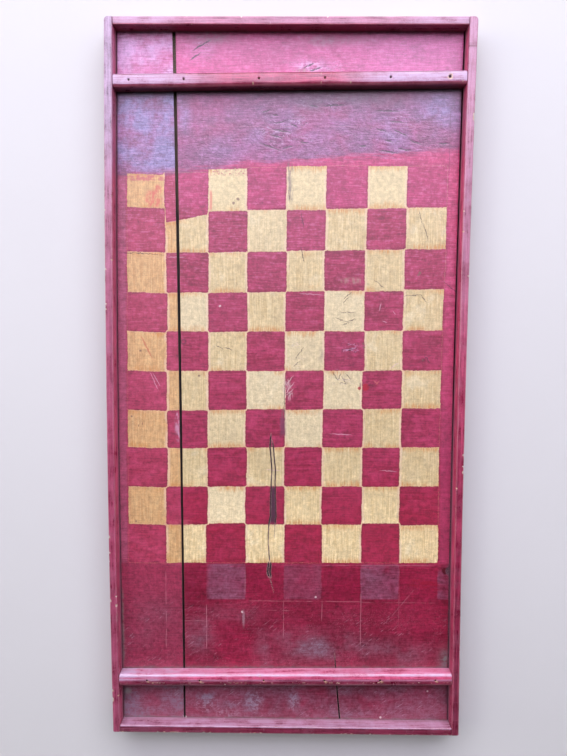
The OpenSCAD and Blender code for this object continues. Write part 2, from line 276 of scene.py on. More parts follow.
class Graph:
    def __init__(self, name):
        self.mat = bpy.data.materials.new(name)
        self.mat.use_nodes = True
        self.nt = self.mat.node_tree
        self.nt.nodes.clear()
        self.out = self.nt.nodes.new("ShaderNodeOutputMaterial")
        self.bsdf = self.nt.nodes.new("ShaderNodeBsdfPrincipled")
        self.nt.links.new(self.bsdf.outputs[0], self.out.inputs[0])
        tc = self.nt.nodes.new("ShaderNodeTexCoord")
        mm = self.node("ShaderNodeMapping", vector_type="POINT")
        mm.inputs["Scale"].default_value = (1000.0, 1000.0, 1000.0)
        self.nt.links.new(tc.outputs["Object"], mm.inputs["Vector"])
        self.P = Sock(self, mm.outputs[0])
        sp = self.node("ShaderNodeSeparateXYZ")
        self.put(sp.inputs[0], self.P)
        self.X, self.Y, self.Z = (Sock(self, o) for o in sp.outputs)

    def node(self, kind, **props):
        n = self.nt.nodes.new(kind)
        for k, v in props.items():
            setattr(n, k, v)
        return n

    def put(self, inp, v):
        if isinstance(v, Sock):
            self.nt.links.new(v.s, inp)
        else:
            inp.default_value = v

    def math(self, op, a, b=None, c=None, clamp=False):
        n = self.node("ShaderNodeMath", operation=op, use_clamp=clamp)
        for i, v in enumerate((a, b, c)):
            if v is not None:
                self.put(n.inputs[i], v)
        return Sock(self, n.outputs[0])

    def sin(self, a): return self.math("SINE", a)
    def abs(self, a): return self.math("ABSOLUTE", a)
    def min(self, a, b): return self.math("MINIMUM", a, b)
    def max(self, a, b): return self.math("MAXIMUM", a, b)
    def frac(self, a): return self.math("FRACT", a)
    def sat(self, a): return self.min(self.max(a, 0.0), 1.0)

    def step(self, x, a, b, lo=0.0, hi=1.0):
        n = self.node("ShaderNodeMapRange", interpolation_type="SMOOTHSTEP", clamp=False)
        if a > b:
            a, b, lo, hi = b, a, hi, lo
        for i, v in enumerate((x, a, b, lo, hi)):
            self.put(n.inputs[i], v)
        return Sock(self, n.outputs[0])

    def between(self, x, a, b, soft):
        return self.step(x, a - soft, a + soft) * self.step(x, b + soft, b - soft)

    def attr(self, name):
        n = self.node("ShaderNodeAttribute", attribute_name=name, attribute_type="GEOMETRY")
        return Sock(self, n.outputs["Fac"])

    def vec(self, x, y, z):
        n = self.node("ShaderNodeCombineXYZ")
        for i, v in enumerate((x, y, z)):
            self.put(n.inputs[i], v)
        return Sock(self, n.outputs[0])

    def stretch(self, n, kx, ky, kz, at, of=None):
        self.put(n.inputs["Vector"], of or self.P)
        n.texture_mapping.scale = (kx, ky, kz)
        n.texture_mapping.translation = at

    def fog(self, kx, ky=None, kz=None, seed=0, detail=3.0, rough=0.5, warp=0.0, of=None):
        """Noise from 0 to 1, kx to kz features to the millimetre along each axis."""
        ky = kx if ky is None else ky
        kz = kx if kz is None else kz
        n = self.node("ShaderNodeTexNoise", noise_dimensions="3D")
        self.stretch(n, kx, ky, kz, (seed * 7.31, seed * 3.17, seed * 5.77), of)
        n.inputs["Scale"].default_value = 1.0
        n.inputs["Detail"].default_value = detail
        n.inputs["Roughness"].default_value = rough
        n.inputs["Distortion"].default_value = warp
        return Sock(self, n.outputs["Fac"])

    def cells(self, k, seed=0, kind="F1", of=None):
        n = self.node("ShaderNodeTexVoronoi", feature=kind)
        self.stretch(n, k, k, k, (seed * 5.1, seed * 2.3, seed * 9.7), of)
        n.inputs["Scale"].default_value = 1.0
        return Sock(self, n.outputs["Distance"])

    def mix(self, fac, a, b, kind="MIX"):
        n = self.node("ShaderNodeMix", data_type="RGBA", blend_type=kind, clamp_factor=True)
        self.put(n.inputs["Factor"], fac)
        for i, v in ((6, a), (7, b)):
            self.put(n.inputs[i], v if isinstance(v, Sock) else (*v, 1.0))
        return Sock(self, n.outputs[2])

    def chance(self, u, v, seed):
        """A steady random number for each whole step of u and v."""
        n = self.node("ShaderNodeTexWhiteNoise", noise_dimensions="1D")
        self.put(n.inputs["W"], self.math("FLOOR", u) * 13.7 + self.math("FLOOR", v) * 3.1 + seed * 101.3)
        return Sock(self, n.outputs["Value"])

    def shade(self, col, k):
        """Colour times a grey factor."""
        n = self.node("ShaderNodeMix", data_type="RGBA", blend_type="MULTIPLY")
        n.inputs["Factor"].default_value = 1.0
        self.put(n.inputs[6], col)
        g = self.node("ShaderNodeCombineColor")
        for i in range(3):
            self.put(g.inputs[i], k)
        self.nt.links.new(g.outputs[0], n.inputs[7])
        return Sock(self, n.outputs[2])

    def finish(self, color, rough, height, spec=0.5, strength=1.0, coat=0.0, coat_rough=0.2, metallic=0.0):
        b = self.bsdf
        self.put(b.inputs["Base Color"], color)
        self.put(b.inputs["Roughness"], rough)
        self.put(b.inputs["Metallic"], metallic)
        b.inputs["Specular IOR Level"].default_value = spec
        b.inputs["Coat Weight"].default_value = coat
        b.inputs["Coat Roughness"].default_value = coat_rough
        bump = self.node("ShaderNodeBump")
        bump.inputs["Strength"].default_value = strength
        bump.inputs["Distance"].default_value = 0.001
        self.put(bump.inputs["Height"], height)
        self.nt.links.new(bump.outputs[0], b.inputs["Normal"])
        return self.mat


SPEC = 0.8


def bare_wood(g, tone=1.0):
    """Old unpainted softwood with its grain along Y: colour and height."""
    bend = (g.fog(0.006, 0.0016, 0.01, seed=3, detail=2) - 0.5) * 26
    across = g.X + bend
    v = g.vec(across * 0.16, g.Y * 0.004, g.Z * 0.3)
    ring = g.node("ShaderNodeTexNoise", noise_dimensions="3D")
    g.put(ring.inputs["Vector"], v)
    ring.inputs["Scale"].default_value = 1.0
    ring.inputs["Detail"].default_value = 4.0
    ring.inputs["Roughness"].default_value = 0.6
    rings = Sock(g, ring.outputs["Fac"])
    fine = g.fog(2.2, 0.05, 2.0, seed=5, detail=3, rough=0.6)
    stain = g.fog(0.012, 0.008, 0.02, seed=8, detail=4)
    t = tone
    col = g.mix(g.step(rings, 0.36, 0.66), (0.17 * t, 0.095 * t, 0.052 * t), (0.33 * t, 0.205 * t, 0.115 * t))
    col = g.mix(g.step(fine, 0.52, 0.75) * 0.45, col, (0.09 * t, 0.05 * t, 0.03 * t))
    col = g.mix(g.step(stain, 0.5, 0.75) * 0.55, col, (0.12 * t, 0.085 * t, 0.06 * t))
    return col, rings * 0.12 + fine * 0.14


# ------------------------------------------------------------------ painted panel material
def panel_paint():
    g = Graph("old_board_paint")
    X, Y, Z = g.X, g.Y, g.Z
    col, row = g.attr("col"), g.attr("row")
    fresh = g.attr("fresh")          # mm inside the field of fresher paint
    narrow = g.attr("narrow")        # 1 on the narrow board
    edge = g.attr("edge")            # mm from the nearest foot of the rim or a batten
    crack, smear = g.attr("crack"), g.attr("smear")
    lilac, mauve, ashy, crease = g.attr("lilac"), g.attr("mauve"), g.attr("ashy"), g.attr("crease")
    top = g.step(Z, 12.25, 12.6)

    # hand-cut edges: a slow wander and a finer tremble
    tremble = g.fog(0.55, seed=2, detail=3, rough=0.6)
    wu = (g.fog(0.055, seed=1, detail=1) - 0.5) * 0.045 + (tremble - 0.5) * 0.048
    wv = (g.fog(0.055, seed=3, detail=1) - 0.5) * 0.045 + (g.fog(0.45, seed=4, detail=3, rough=0.6) - 0.5) * 0.054
    u, v = col + wu, row + wv
    inside = g.min(g.min(u, 8.0 - u), g.min(v, 10.0 - v)) * 38.5
    field = g.step(inside, -0.35, 0.25)
    # mm from the nearest line inside the field, positive in the cream squares and negative in the red ones
    near_u = g.abs(u - g.min(g.max(g.math("ROUND", u), 1.0), 7.0)) * 38.5
    near_v = g.abs(v - g.min(g.max(g.math("ROUND", v), 1.0), 9.0)) * 38.5
    parity = g.math("SIGN", g.sin(u * math.pi) * g.sin(v * math.pi))
    sd = g.math("SMOOTH_MIN", near_u, near_v, 2.2) * parity
    cream = g.step(sd, -0.55, -0.18) * field
    dv = g.min(g.frac(v), 1.0 - g.frac(v)) * 38.5
    luck, luck2 = g.chance(u, v, 1), g.chance(u, v, 2)

    # wear in common: upright hatch over the grain, crosswise brush marks, mottling and fine flecks
    hatch = g.fog(1.15, 0.075, 0.6, seed=101, detail=3, rough=0.6)
    brush = g.fog(0.075, 0.80, 0.5, seed=102, detail=3, rough=0.6, warp=0.5)
    mottle = g.fog(0.24, 0.22, 0.3, seed=103, detail=4, rough=0.68)
    grit = g.fog(0.9, seed=82, detail=2, rough=0.7)

    # fresher red around the squares, laid on in horizontal strokes
    strokes = g.fog(0.035, 0.55, 0.3, seed=11, detail=4, rough=0.6, warp=0.3)
    blot = g.fog(0.075, 0.11, 0.1, seed=13, detail=3, rough=0.55)
    red = g.mix(g.step(strokes, 0.34, 0.66), (0.240, 0.0075, 0.034), (0.335, 0.0165, 0.066))
    red = g.mix(g.step(blot, 0.42, 0.70) * 0.55, red, (0.360, 0.030, 0.090))
    red = g.mix(g.step(luck, 0.35, 1.0) * 0.35, red, (0.345, 0.034, 0.098))
    red = g.mix(g.step(luck2, 0.45, 1.0) * g.step(blot, 0.60, 0.40) * 0.45, red, (0.200, 0.0055, 0.028))
    red = g.mix(g.step(Y, -40, -150) * 0.70, red, (0.300, 0.0050, 0.031))
    red = g.mix(g.step(Y, 168, 178) * (1.0 - narrow) * 0.55, red, (0.430, 0.032, 0.125))
    red = g.mix(narrow * 0.75, red, g.mix(g.step(blot, 0.35, 0.7), (0.345, 0.025, 0.066), (0.385, 0.038, 0.090)))
    # each red square ends in a slightly thicker, darker rim
    rim = g.step(sd, -2.4, -0.9) * g.step(sd, 0.0, -0.4)
    red = g.mix(rim * field * 0.42, red, (0.19, 0.006, 0.028))

    # older ground paint: above the squares, below them
    cloud = g.fog(0.022, 0.03, 0.03, seed=22, detail=4, rough=0.6)
    patch = g.fog(0.05, 0.05, 0.05, seed=31, detail=3)
    warm = g.fog(0.035, 0.045, 0.04, seed=32, detail=4, rough=0.6)
    old_top = g.mix(g.step(cloud, 0.40, 0.62), (0.205, 0.040, 0.105), (0.270, 0.046, 0.135))
    old_top = g.mix(g.step(warm, 0.46, 0.68) * 0.42, old_top, (0.340, 0.030, 0.110))
    old_top = g.mix(g.step(Y, 290, 300) * 0.85, old_top, g.mix(g.step(cloud, 0.38, 0.62), (0.405, 0.040, 0.150), (0.480, 0.050, 0.180)))
    # lilac film over the old paint at the top, also over the right of the upper tray: partly dust bloom, partly painted
    # sheen
    old_top = g.mix(g.step(Y, 288, 300) * g.step(X, 30, 110) * 0.28, old_top, (0.400, 0.140, 0.300))
    lilac_veil_and_sheen = g.sat(lilac * (0.35 + g.step(patch, 0.34, 0.64) * 0.8 + (mottle - 0.5) * g.step(Y, 270, 300, 1.5, 0.8) + (brush - 0.5) * 0.7))
    old_top = g.mix(lilac_veil_and_sheen, old_top, g.mix(g.step(Y, 285, 300), (0.222, 0.180, 0.335), (0.500, 0.260, 0.440)))
    old_low = g.mix(g.step(cloud, 0.38, 0.62), (0.190, 0.0060, 0.026), (0.258, 0.0095, 0.038))
    old_low = g.mix(g.step(strokes, 0.45, 0.72) * g.step(X, 70, 20, 0.12, 0.45), old_low, (0.240, 0.022, 0.056))
    old_low = g.mix(narrow * 0.6, old_low, g.mix(g.step(Y, -215, -195), (0.275, 0.030, 0.066), (0.335, 0.040, 0.084)))
    # ghosts of squares that were painted out in the first row below the field
    ghost_s = g.sin((col + wu) * math.pi) * g.sin((row + wv * 0.5) * math.pi)
    in_ghost = g.between(row, 10.03, 10.97, 0.012) * g.step(col, 1.95, 2.1)
    lavender = g.mix(g.step(patch, 0.3, 0.7), (0.225, 0.040, 0.080), (0.210, 0.064, 0.104))
    torn = g.step(brush + (mottle - 0.5) * 0.8, 0.40, 0.56)
    old_low = g.mix(in_ghost * g.step(ghost_s, 0.0, 0.020) * g.step(patch + g.frac(row) * 0.16 + g.frac(col) * 0.10, 0.30, 0.56) * (0.66 + torn * 0.34) * (1.0 - 0.45 * g.between(col, 4.0, 5.0, 0.02)), old_low, lavender)
    old_low = g.mix(in_ghost * g.step(ghost_s, 0.0, -0.05) * g.step(patch, 0.75, 0.45) * 0.8, old_low, (0.240, 0.006, 0.032))
    ground = g.mix(g.step(Y, -60, 60), old_low, old_top)

    wander = (g.fog(0.03, 0.4, 0.1, seed=41, detail=3) - 0.5) * 16 + (g.fog(0.2, 0.8, 0.3, seed=42, detail=2) - 0.5) * 5
    is_fresh = g.step(fresh + wander, -3.6, 4.4)
    base = g.mix(is_fresh, ground, red)
    # margins outside the squares are a little duller and dustier, the one above them hotter pink
    margin = g.step(inside, 0.0, -3.0) * is_fresh
    base = g.mix(margin * g.step(v, 0.0, -0.04) * g.step(strokes, 0.30, 0.55) * (1.0 - narrow) * 0.85, base, (0.440, 0.036, 0.120))
    base = g.mix(margin * 0.55 * g.step(v, -0.05, 0.0), base, g.mix(narrow, g.mix(g.step(Y, -60, 30), (0.370, 0.042, 0.110), (0.520, 0.050, 0.140)), (0.350, 0.090, 0.150)))
    # unevenness of all the red paint: dark and light grain, and a thin lilac film
    tone = 1.0 + g.step(Y, 284, 300) * 0.05 + (hatch - 0.5) * 0.28 + (brush - 0.5) * 1.05 + (mottle - 0.5) * g.step(Y, 200, 300, 1.35, 0.70) + (grit - 0.5) * 0.75 + (blot - 0.5) * 0.5
    base = g.shade(base, g.min(g.max(tone, 0.45), 1.6))
    # the lilac film grows toward the top: partly powdery bloom, partly painted sheen
    bloom_and_sheen = g.step(mottle + (brush - 0.5) * 1.0, 0.50, 0.74)
    base = g.mix(bloom_and_sheen * g.step(Y, -190, 150, 0.02, 0.30), base, g.mix(g.step(Y, -60, 200), (0.340, 0.085, 0.140), (0.470, 0.190, 0.330)))
    pit = g.step(g.fog(0.62, 0.50, 0.5, seed=104, detail=3, rough=0.7), 0.66, 0.72)
    base = g.mix(pit * 0.55, base, (0.085, 0.010, 0.026))

    # cream squares: thin paint over upright grain, tan toward their upper and lower edges
    g1 = g.fog(0.9, 0.035, 0.6, seed=51, detail=4, rough=0.65)
    smudge = g.fog(0.06, 0.045, 0.06, seed=53, detail=4, rough=0.6)
    crm = g.mix(g.step(g1, 0.36, 0.66), (0.690, 0.555, 0.290), (0.535, 0.395, 0.175))
    crm = g.mix(g.step(hatch, 0.52, 0.74) * 0.55, crm, (0.470, 0.335, 0.150))
    crm = g.mix(g.step(smudge, 0.52, 0.72) * 0.50, crm, (0.480, 0.370, 0.190))
    crm = g.mix(g.step(smudge, 0.44, 0.28) * 0.6, crm, (0.700, 0.600, 0.360))
    crm = g.mix(g.step(luck, 0.72, 0.95) * 0.55, crm, (0.700, 0.605, 0.370))
    tan = g.mix(g.step(g1, 0.38, 0.66), (0.490, 0.255, 0.090), (0.615, 0.390, 0.165))
    crm = g.mix(narrow * 0.92, crm, tan)
    crm = g.mix(g.step(Y, 160, 185) * (1.0 - narrow) * 0.75, crm, (0.690, 0.570, 0.310))
    crm = g.shade(crm, 1.0 + (mottle - 0.5) * 0.95 + (grit - 0.5) * 0.55 + (brush - 0.5) * 0.34)
    # painted light and shade: on the wide board the creams are lighter toward the bottom and darker toward the top,
    # evening out the lamps' falloff
    crm = g.shade(crm, 1.0 + (1.0 - narrow) * g.step(Y, -150, -60, 0.13, -0.10))
    # crosswise scratches as fine as the grain
    crm = g.mix(g.step(brush, 0.60, 0.68) * g.step(patch, 0.45, 0.60) * 0.35, crm, (0.330, 0.230, 0.120))
    stain = g.step(dv + (g.fog(0.35, 0.03, 0.3, seed=54, detail=3) - 0.5) * 10, 6.5, 0.5)
    stain = stain * g.step(g.fog(1.1, 0.06, 0.6, seed=55, detail=3, rough=0.6), 0.38, 0.58)
    stain = stain * g.step(g.fog(0.03, 0.03, 0.03, seed=56, detail=2), 0.42, 0.56)
    crm = g.mix(stain * 0.85, crm, (0.520, 0.225, 0.050))
    halo = g.step(near_u, 2.6, 0.8) * g.step(g.fog(0.12, 0.05, 0.1, seed=57, detail=2), 0.35, 0.55)
    crm = g.mix(halo * 0.50, crm, (0.700, 0.520, 0.370))
    line = g.step(sd, 0.8, -0.2)
    crm = g.mix(line * 0.45, crm, (0.640, 0.350, 0.220))
    fleck = g.step(g.cells(0.42, seed=5), 0.13, 0.05) * g.step(g.fog(0.035, seed=58, detail=2), 0.44, 0.56)
    crm = g.mix(g.max(fleck * 0.80, pit * 0.58), crm, (0.20, 0.12, 0.060))

    paint = g.mix(cream, base, crm)

    # scribed layout lines: pale scratches in the lower paint, faint ones above
    shake = (g.fog(0.05, seed=61, detail=2) - 0.5) * 1.2

    def hair(d, w=0.42):
        return g.step(g.abs(d + shake), w, w * 0.35)

    scribe = None

    def add(m):
        nonlocal scribe
        scribe = m if scribe is None else g.max(scribe, m)

    for x0, a, b, k in ((-119.8, -262, -185, 0.7), (-79.2, -262, -214, 0.9), (-40.8, -205, -180, 0.4), (-2.2, -250, -214, 0.8),
                        (36.2, -232, -212, 0.6), (75.0, -258, -205, 0.75), (112.8, -250, -180, 0.35)):
        add(hair(X - x0) * g.between(Y, a, b, 3) * k)
    for y0, a, b, k in ((-175.8, 40, 150, 0.5), (-213.0, -40, 75, 0.6), (-213.6, 75, 150, 0.35), (-234.3, -103, -79, 0.6),
                        (-222.6, -18, 3, 0.7), (248.8, -80, 150, 0.25)):
        add(hair(Y - y0) * g.between(X, a, b, 3) * k)
    breaks = g.step(g.fog(0.08, seed=62, detail=3), 0.36, 0.56)
    paint = g.mix(scribe * breaks * (1.0 - cream) * 0.95, paint, (0.46, 0.19, 0.22))
    # darker scored lines in the paint above the field
    score = g.max(hair(X - 152.7, 0.5) * g.between(Y, 206, 262, 3), hair(Y - 234.0, 0.45) * g.between(X, 133, 152, 2) * 0.9)
    score = g.max(score, hair(Y - 232.0, 0.45) * g.between(X, 59, 73, 2) * 0.8)
    score = g.max(score, g.max(hair(Y - 233.0, 0.4) * g.between(X, -160, -112, 3) * 0.5, hair(X + 76.2, 0.5) * g.between(Y, 206, 281, 3) * 0.35))
    score = g.max(score, hair(Y - 236.2 + (X - 118) * 0.28, 0.8) * g.between(X, 112, 124, 2))
    paint = g.mix(score * 0.50, paint, (0.095, 0.012, 0.040))

    # spots, drips and marks
    rag = (g.fog(0.35, seed=71, detail=3) - 0.5) * 2.0
    rag2 = (g.fog(0.28, seed=72, detail=3, rough=0.6) - 0.5) * 2.0

    def spot(x0, y0, r, soft=0.6, sx=1.0, sy=1.0, wob=1.2):
        dx, dy = (X - x0) * sx, (Y - y0) * sy
        d = g.math("SQRT", dx * dx + dy * dy) + rag * wob
        return g.step(d, r + soft, r - soft)

    flat = {}

    def strokes_of(table, w=0.5, wob=1.6):
        """Shaky, tapering lines from one point to another."""
        if wob not in flat:
            flat[wob] = g.vec(X + rag * wob * 0.6, Y + rag2 * wob, 1.0)
        least = None

        def dot(a, b, c):
            n = g.node("ShaderNodeVectorMath", operation="DOT_PRODUCT")
            g.put(n.inputs[0], flat[wob])
            n.inputs[1].default_value = (a, b, c)
            return Sock(g, n.outputs["Value"])

        for x0, y0, x1, y1 in table:
            mx, my, size = (x0 + x1) / 2, (y0 + y1) / 2, math.hypot(x1 - x0, y1 - y0)
            cx, cy = (x1 - x0) / size, (y1 - y0) / size
            half = size / 2 + w
            far = dot(cx / half, cy / half, -(mx * cx + my * cy) / half)
            off = dot(-cy / w, cx / w, (mx * cy - my * cx) / w)
            d = g.math("MULTIPLY_ADD", off, off, far * far)
            least = d if least is None else g.min(least, d)
        return g.step(least, 1.5, 0.35)

    def spots_of(table, soft=0.5, wob=1.2):
        """Ragged round spots of one softness: middle and radius."""
        if wob not in flat:
            flat[wob] = g.vec(X + rag * wob * 0.6, Y + rag2 * wob, 1.0)
        least = None
        for x0, y0, r in table:
            n = g.node("ShaderNodeVectorMath", operation="DISTANCE")
            g.put(n.inputs[0], flat[wob])
            n.inputs[1].default_value = (x0, y0, 1.0)
            d = Sock(g, n.outputs["Value"]) - r
            least = d if least is None else g.min(least, d)
        return g.step(least, soft, -soft)

    drop = g.max(spot(76.6, 1.8, 3.3), spot(70.6, 0.6, 1.6))
    paint = g.mix(drop * 0.95, paint, (0.36, 0.002, 0.018))
    paint = g.mix(spot(82.5, 2.8, 3.6, 1.6, 0.9, 1.2) * g.step(mottle, 0.42, 0.56) * 0.75, paint, (0.10, 0.006, 0.020))
    paint = g.mix(spot(71.5, 3.5, 1.1, 0.5, 1.0, 0.45) * 0.6, paint, (0.14, 0.010, 0.025))
    paint = g.mix(strokes_of(((84.5, 8.6, 88.4, 5.0), (86.5, 4.4, 89.8, 8.0)), 0.5) * 0.6, paint, (0.50, 0.13, 0.10))
    paint = g.mix(spot(159.0, -180.9, 3.4, 0.8, 0.8) * 0.95, paint, (0.08, 0.002, 0.008))
    ring = spot(-100.6, 45.3, 2.7) * (1.0 - spot(-100.6, 45.3, 1.5))
    paint = g.mix(ring * 0.7, paint, (0.08, 0.015, 0.030))
    dots = spots_of(((-85.7, 12.3, 1.0), (-142.7, 36.1, 1.1), (-47.8, 181.3, 1.5), (-52.1, 177.6, 1.2), (-152.2, -28.3, 0.9), (127.0, 112.1, 1.3),
                      (125.5, 110.4, 0.9), (74.3, 40.5, 1.2), (73.6, 44.0, 0.9), (131.5, 28.5, 0.9), (-149.0, -132.6, 0.9)))
    paint = g.mix(dots * 0.8, paint, (0.16, 0.085, 0.060))
    paint = g.mix(strokes_of(((-145.4, -38.0, -145.4, -36.4), (-141.5, -36.0, -141.5, -34.4)), 0.6, 1.0) * 0.7, paint, (0.16, 0.06, 0.03))
    # red smear over the corner of the first square, and its pinkish upper edge
    blur = g.step(g.fog(0.3, 0.12, 0.2, seed=72, detail=3, rough=0.6), 0.36, 0.60)
    wipe = g.max(spot(-128.5, 181.0, 6.0, 2.2, 0.8, 0.7, 2.0), spot(-124.5, 189.5, 3.8, 2.0, 1.1, 0.8, 1.5))
    paint = g.mix(wipe * blur * cream * 0.85, paint, (0.56, 0.110, 0.085))
    ruffle = (g.fog(0.12, seed=73, detail=2) - 0.5) * 5
    gaps = g.step(g.fog(0.25, seed=74, detail=2), 0.38, 0.55)
    band = g.between(X, -154, -119, 3) * g.between(Y + ruffle, 198.5, 203.4, 0.8) * 0.7
    band = g.max(band, g.between(X, -118, -94, 3) * g.between(Y + ruffle * 0.6, -136.5, -131.0, 1.2) * 0.6)
    paint = g.mix(band * gaps, paint, (0.46, 0.075, 0.110))
    scrape = g.max(spot(-106.2, -47, 4.2, 1.5, 3.0, 0.8, 1.0), spot(-107.6, -38, 8.0, 1.5, 3.4, 0.6, 2.0) * 0.8)
    paint = g.mix(scrape * blur * 0.75, paint, (0.56, 0.33, 0.42))
    # white scrapes below the knot's column
    rubbed = spot(1.0, -1.0, 8.0, 3.0, 1.5, 0.75, 3.0) * g.step(g.fog(0.7, 0.10, 0.3, seed=93, detail=3, rough=0.6), 0.50, 0.60)
    rubbed = g.max(rubbed * 0.5, strokes_of(((5.8, 12.4, -1.9, 2.0), (7.0, 6.0, -1.0, -4.0), (6.2, -0.5, -2.0, -7.5), (0.5, 9.0, 3.0, 1.0), (5.0, -4.0, 1.0, -9.0)), 0.48) * 0.62)
    paint = g.mix(rubbed, paint, (0.62, 0.47, 0.44))
    # pale scratches
    pale = strokes_of(((-133.6, 15.5, -125.9, -2.1), (-115.2, 126.3, -98.8, 126.4), (-130.5, 14.0, -124.0, 2.0), (88.6, 76.0, 90.2, 83.5), (12.0, 92.0, 34.0, 91.0),
                       (102.0, 75.5, 104.0, 72.5), (92.0, 66.0, 96.0, 65.0), (-60.0, 130.0, -52.0, 131.5), (42.0, -44.0, 64.0, -45.0), (92.0, -80.0, 108.0, -81.0),
                       (-20.0, -80.0, -6.0, -81.0), (100.0, 20.0, 108.0, 26.0)), 0.40, 1.0)
    paint = g.mix(pale * 0.55, paint, (0.60, 0.36, 0.42))
    paint = g.mix(strokes_of(((-142.0, 50.4, -131.5, 29.1),), 0.8) * 0.65, paint, (0.46, 0.09, 0.045))
    # a run of red down one side of the third square
    run = g.between(X + ruffle * 0.3, -75.0, -72.6, 0.5) * g.between(Y, 171, 189, 2)
    paint = g.mix(run * 0.7, paint, (0.58, 0.150, 0.105))
    speck = g.between(Y, 203.5, 209, 1.2) * g.between(X, -76, -40, 2) * g.step(g.fog(0.5, seed=76, detail=3, rough=0.7), 0.52, 0.60)
    paint = g.mix(speck * 0.8, paint, (0.40, 0.075, 0.110))
    # a brighter stroke of red near the lower right
    dab = g.between(Y + X * 0.13, -177.2, -173.2, 1.0) * g.between(X, 125, 153, 3)
    dab = g.max(dab, strokes_of(((123.5, -195.3, 153.4, -200.1), (126.0, -190.0, 150.0, -193.0)), 1.1, 2.0))
    paint = g.mix(dab * g.step(strokes, 0.35, 0.6) * 0.6, paint, (0.30, 0.003, 0.018))
    # grey smudge of a knot at the head of the middle column, worn grey in a square below, and a bruise lower down
    streaky = g.step(g.fog(0.5, 0.09, 0.3, seed=78, detail=3), 0.34, 0.62)
    knot = g.between(X + ruffle, -0.6, 4.4, 1.6) * g.between(Y, 178, 215, 4)
    knot = g.max(knot, spot(32.3, 34.0, 4.0, 2.0, 1.4, 0.6, 2.0) * 0.75)
    knot = g.max(knot, spot(-3.3, -24.0, 3.6, 1.2, 1.8, 0.65, 1.5) * 0.9)
    paint = g.mix(knot * streaky * 0.72, paint, (0.165, 0.125, 0.110))
    bruise = g.between(X + ruffle * 0.8, -6.6, -1.0, 1.4) * g.between(Y, -46, -28, 3)
    paint = g.mix(bruise * 0.6, paint, (0.125, 0.045, 0.080))
    # open cracks and crooked scratches in single squares
    black = strokes_of(((53.0, 86.0, 62.5, 94.0), (54.0, 83.5, 59.0, 88.5), (49.0, 74.5, 66.0, 74.0), (47.5, 69.0, 54.0, 66.0), (54.0, 65.0, 66.0, 67.5), (52.0, 62.0, 60.0, 64.5),
                        (83.0, 105.3, 92.8, 97.7), (147.3, 105.6, 167.8, 90.4), (44.6, 16.5, 49.5, 8.0), (49.5, 8.0, 52.0, 15.0), (53.0, 12.0, 57.4, 4.9), (57.0, 15.0, 62.0, 10.0),
                        (12.4, 169.3, 15.4, 154.3), (124.8, 171.6, 128.0, 158.0), (129.0, 160.0, 134.0, 143.4), (-69.1, 42.1, -62.0, 38.0), (-61.0, 40.0, -53.6, 37.3),
                        (130.0, 27.0, 139.0, 33.5), (133.0, 33.0, 138.0, 26.5), (8.5, 30.0, 16.0, 40.0), (6.0, 22.0, 13.0, 27.0), (-163.3, 130.9, -118.0, 128.2),
                        (-2.5, 8.4, -2.3, -22.9), (12.7, 136.3, 15.6, 122.1), (112.0, 90.0, 128.0, 91.5), (128.0, 91.5, 134.0, 84.0)), 0.42, 2.2)
    paint = g.mix(black * g.step(grit, 0.30, 0.48) * 0.85, paint, g.mix(cream, (0.085, 0.010, 0.030), (0.075, 0.045, 0.030)))
    paint = g.mix(g.max(spot(11.0, 300.0, 3.0, 1.5, 0.5, 1.5), spot(61.5, 104.5, 5.0, 2.0, 0.5, 1.6)) * streaky * 0.4, paint, (0.40, 0.30, 0.22))

    # wrinkles in the old skin: painted shade along short creases and a painted highlight on the lip below each, the lip
    # mixed with pale scuffs
    bend = g.fog(0.10, 0.28, 0.1, seed=94, detail=2, rough=0.50, warp=0.8)
    parts = g.step(g.fog(0.07, 0.16, 0.1, seed=96, detail=1), 0.50, 0.58)
    fold = g.sat(g.step(g.abs(bend - 0.50), 0.020, 0.007) * parts * crease)
    lip = g.sat(g.between(bend, 0.526, 0.562, 0.010) * parts * crease)
    fold = g.max(fold, strokes_of(CREASES, 0.74, 1.7) * g.step(grit, 0.22, 0.38))
    scuff = g.max(spot(20.0, 303.5, 11.0, 4.0, 0.9, 2.2, 3.0), spot(-112.0, 300.0, 5.0, 3.0)) * g.step(brush + (mottle - 0.5), 0.46, 0.58)
    lip = g.max(lip, g.max(scuff, g.sat(crease * 0.9) * g.step(g.fog(0.30, 0.75, 0.4, seed=98, detail=3, rough=0.6), 0.60, 0.70) * g.step(Y, 200, 215)))
    paint = g.mix(lip * 0.48, paint, (0.60, 0.42, 0.58))
    paint = g.mix(fold * 0.95, paint, (0.050, 0.013, 0.028))

    # dust: mauve-grey film over the lower paint and the trays, grey-green in the corners
    film = g.fog(0.028, 0.034, 0.03, seed=81, detail=4, rough=0.62)
    weave = g.step(brush - 0.5 + (mottle - 0.5) * 1.3 + (grit - 0.5) * 0.5, -0.17, 0.17)
    dust = g.sat(mauve * g.step(film, 0.32, 0.62, 0.22, 1.0) * (0.45 + weave * 0.62 + (grit - 0.5) * 0.6))
    paint = g.mix(dust, paint, g.mix(g.step(Y, -292, -298), (0.222, 0.128, 0.168), (0.205, 0.140, 0.190)))
    paint = g.mix(g.sat(ashy * (0.25 + grit * 0.6 + weave * 0.8)), paint, (0.150, 0.120, 0.125))
    salt = g.step(g.cells(0.75, seed=2), 0.20, 0.08) * g.step(g.fog(0.04, seed=83, detail=3), 0.46, 0.58)
    paint = g.mix(salt * g.step(Y, -205, -235) * 0.55, paint, (0.46, 0.34, 0.37))
    # fine crossing scratches in the lower paint
    slant = g.vec(X * 0.8 + Y * 0.6, X * -0.6 + Y * 0.8, 0.0)
    nicks = g.step(g.fog(0.11, 1.25, 1.0, seed=86, detail=2, of=slant), 0.63, 0.69)
    paint = g.mix(nicks * g.step(film + (patch - 0.5) * 0.6, 0.46, 0.58) * g.step(Y, -200, -240) * 0.42, paint, (0.430, 0.290, 0.350))
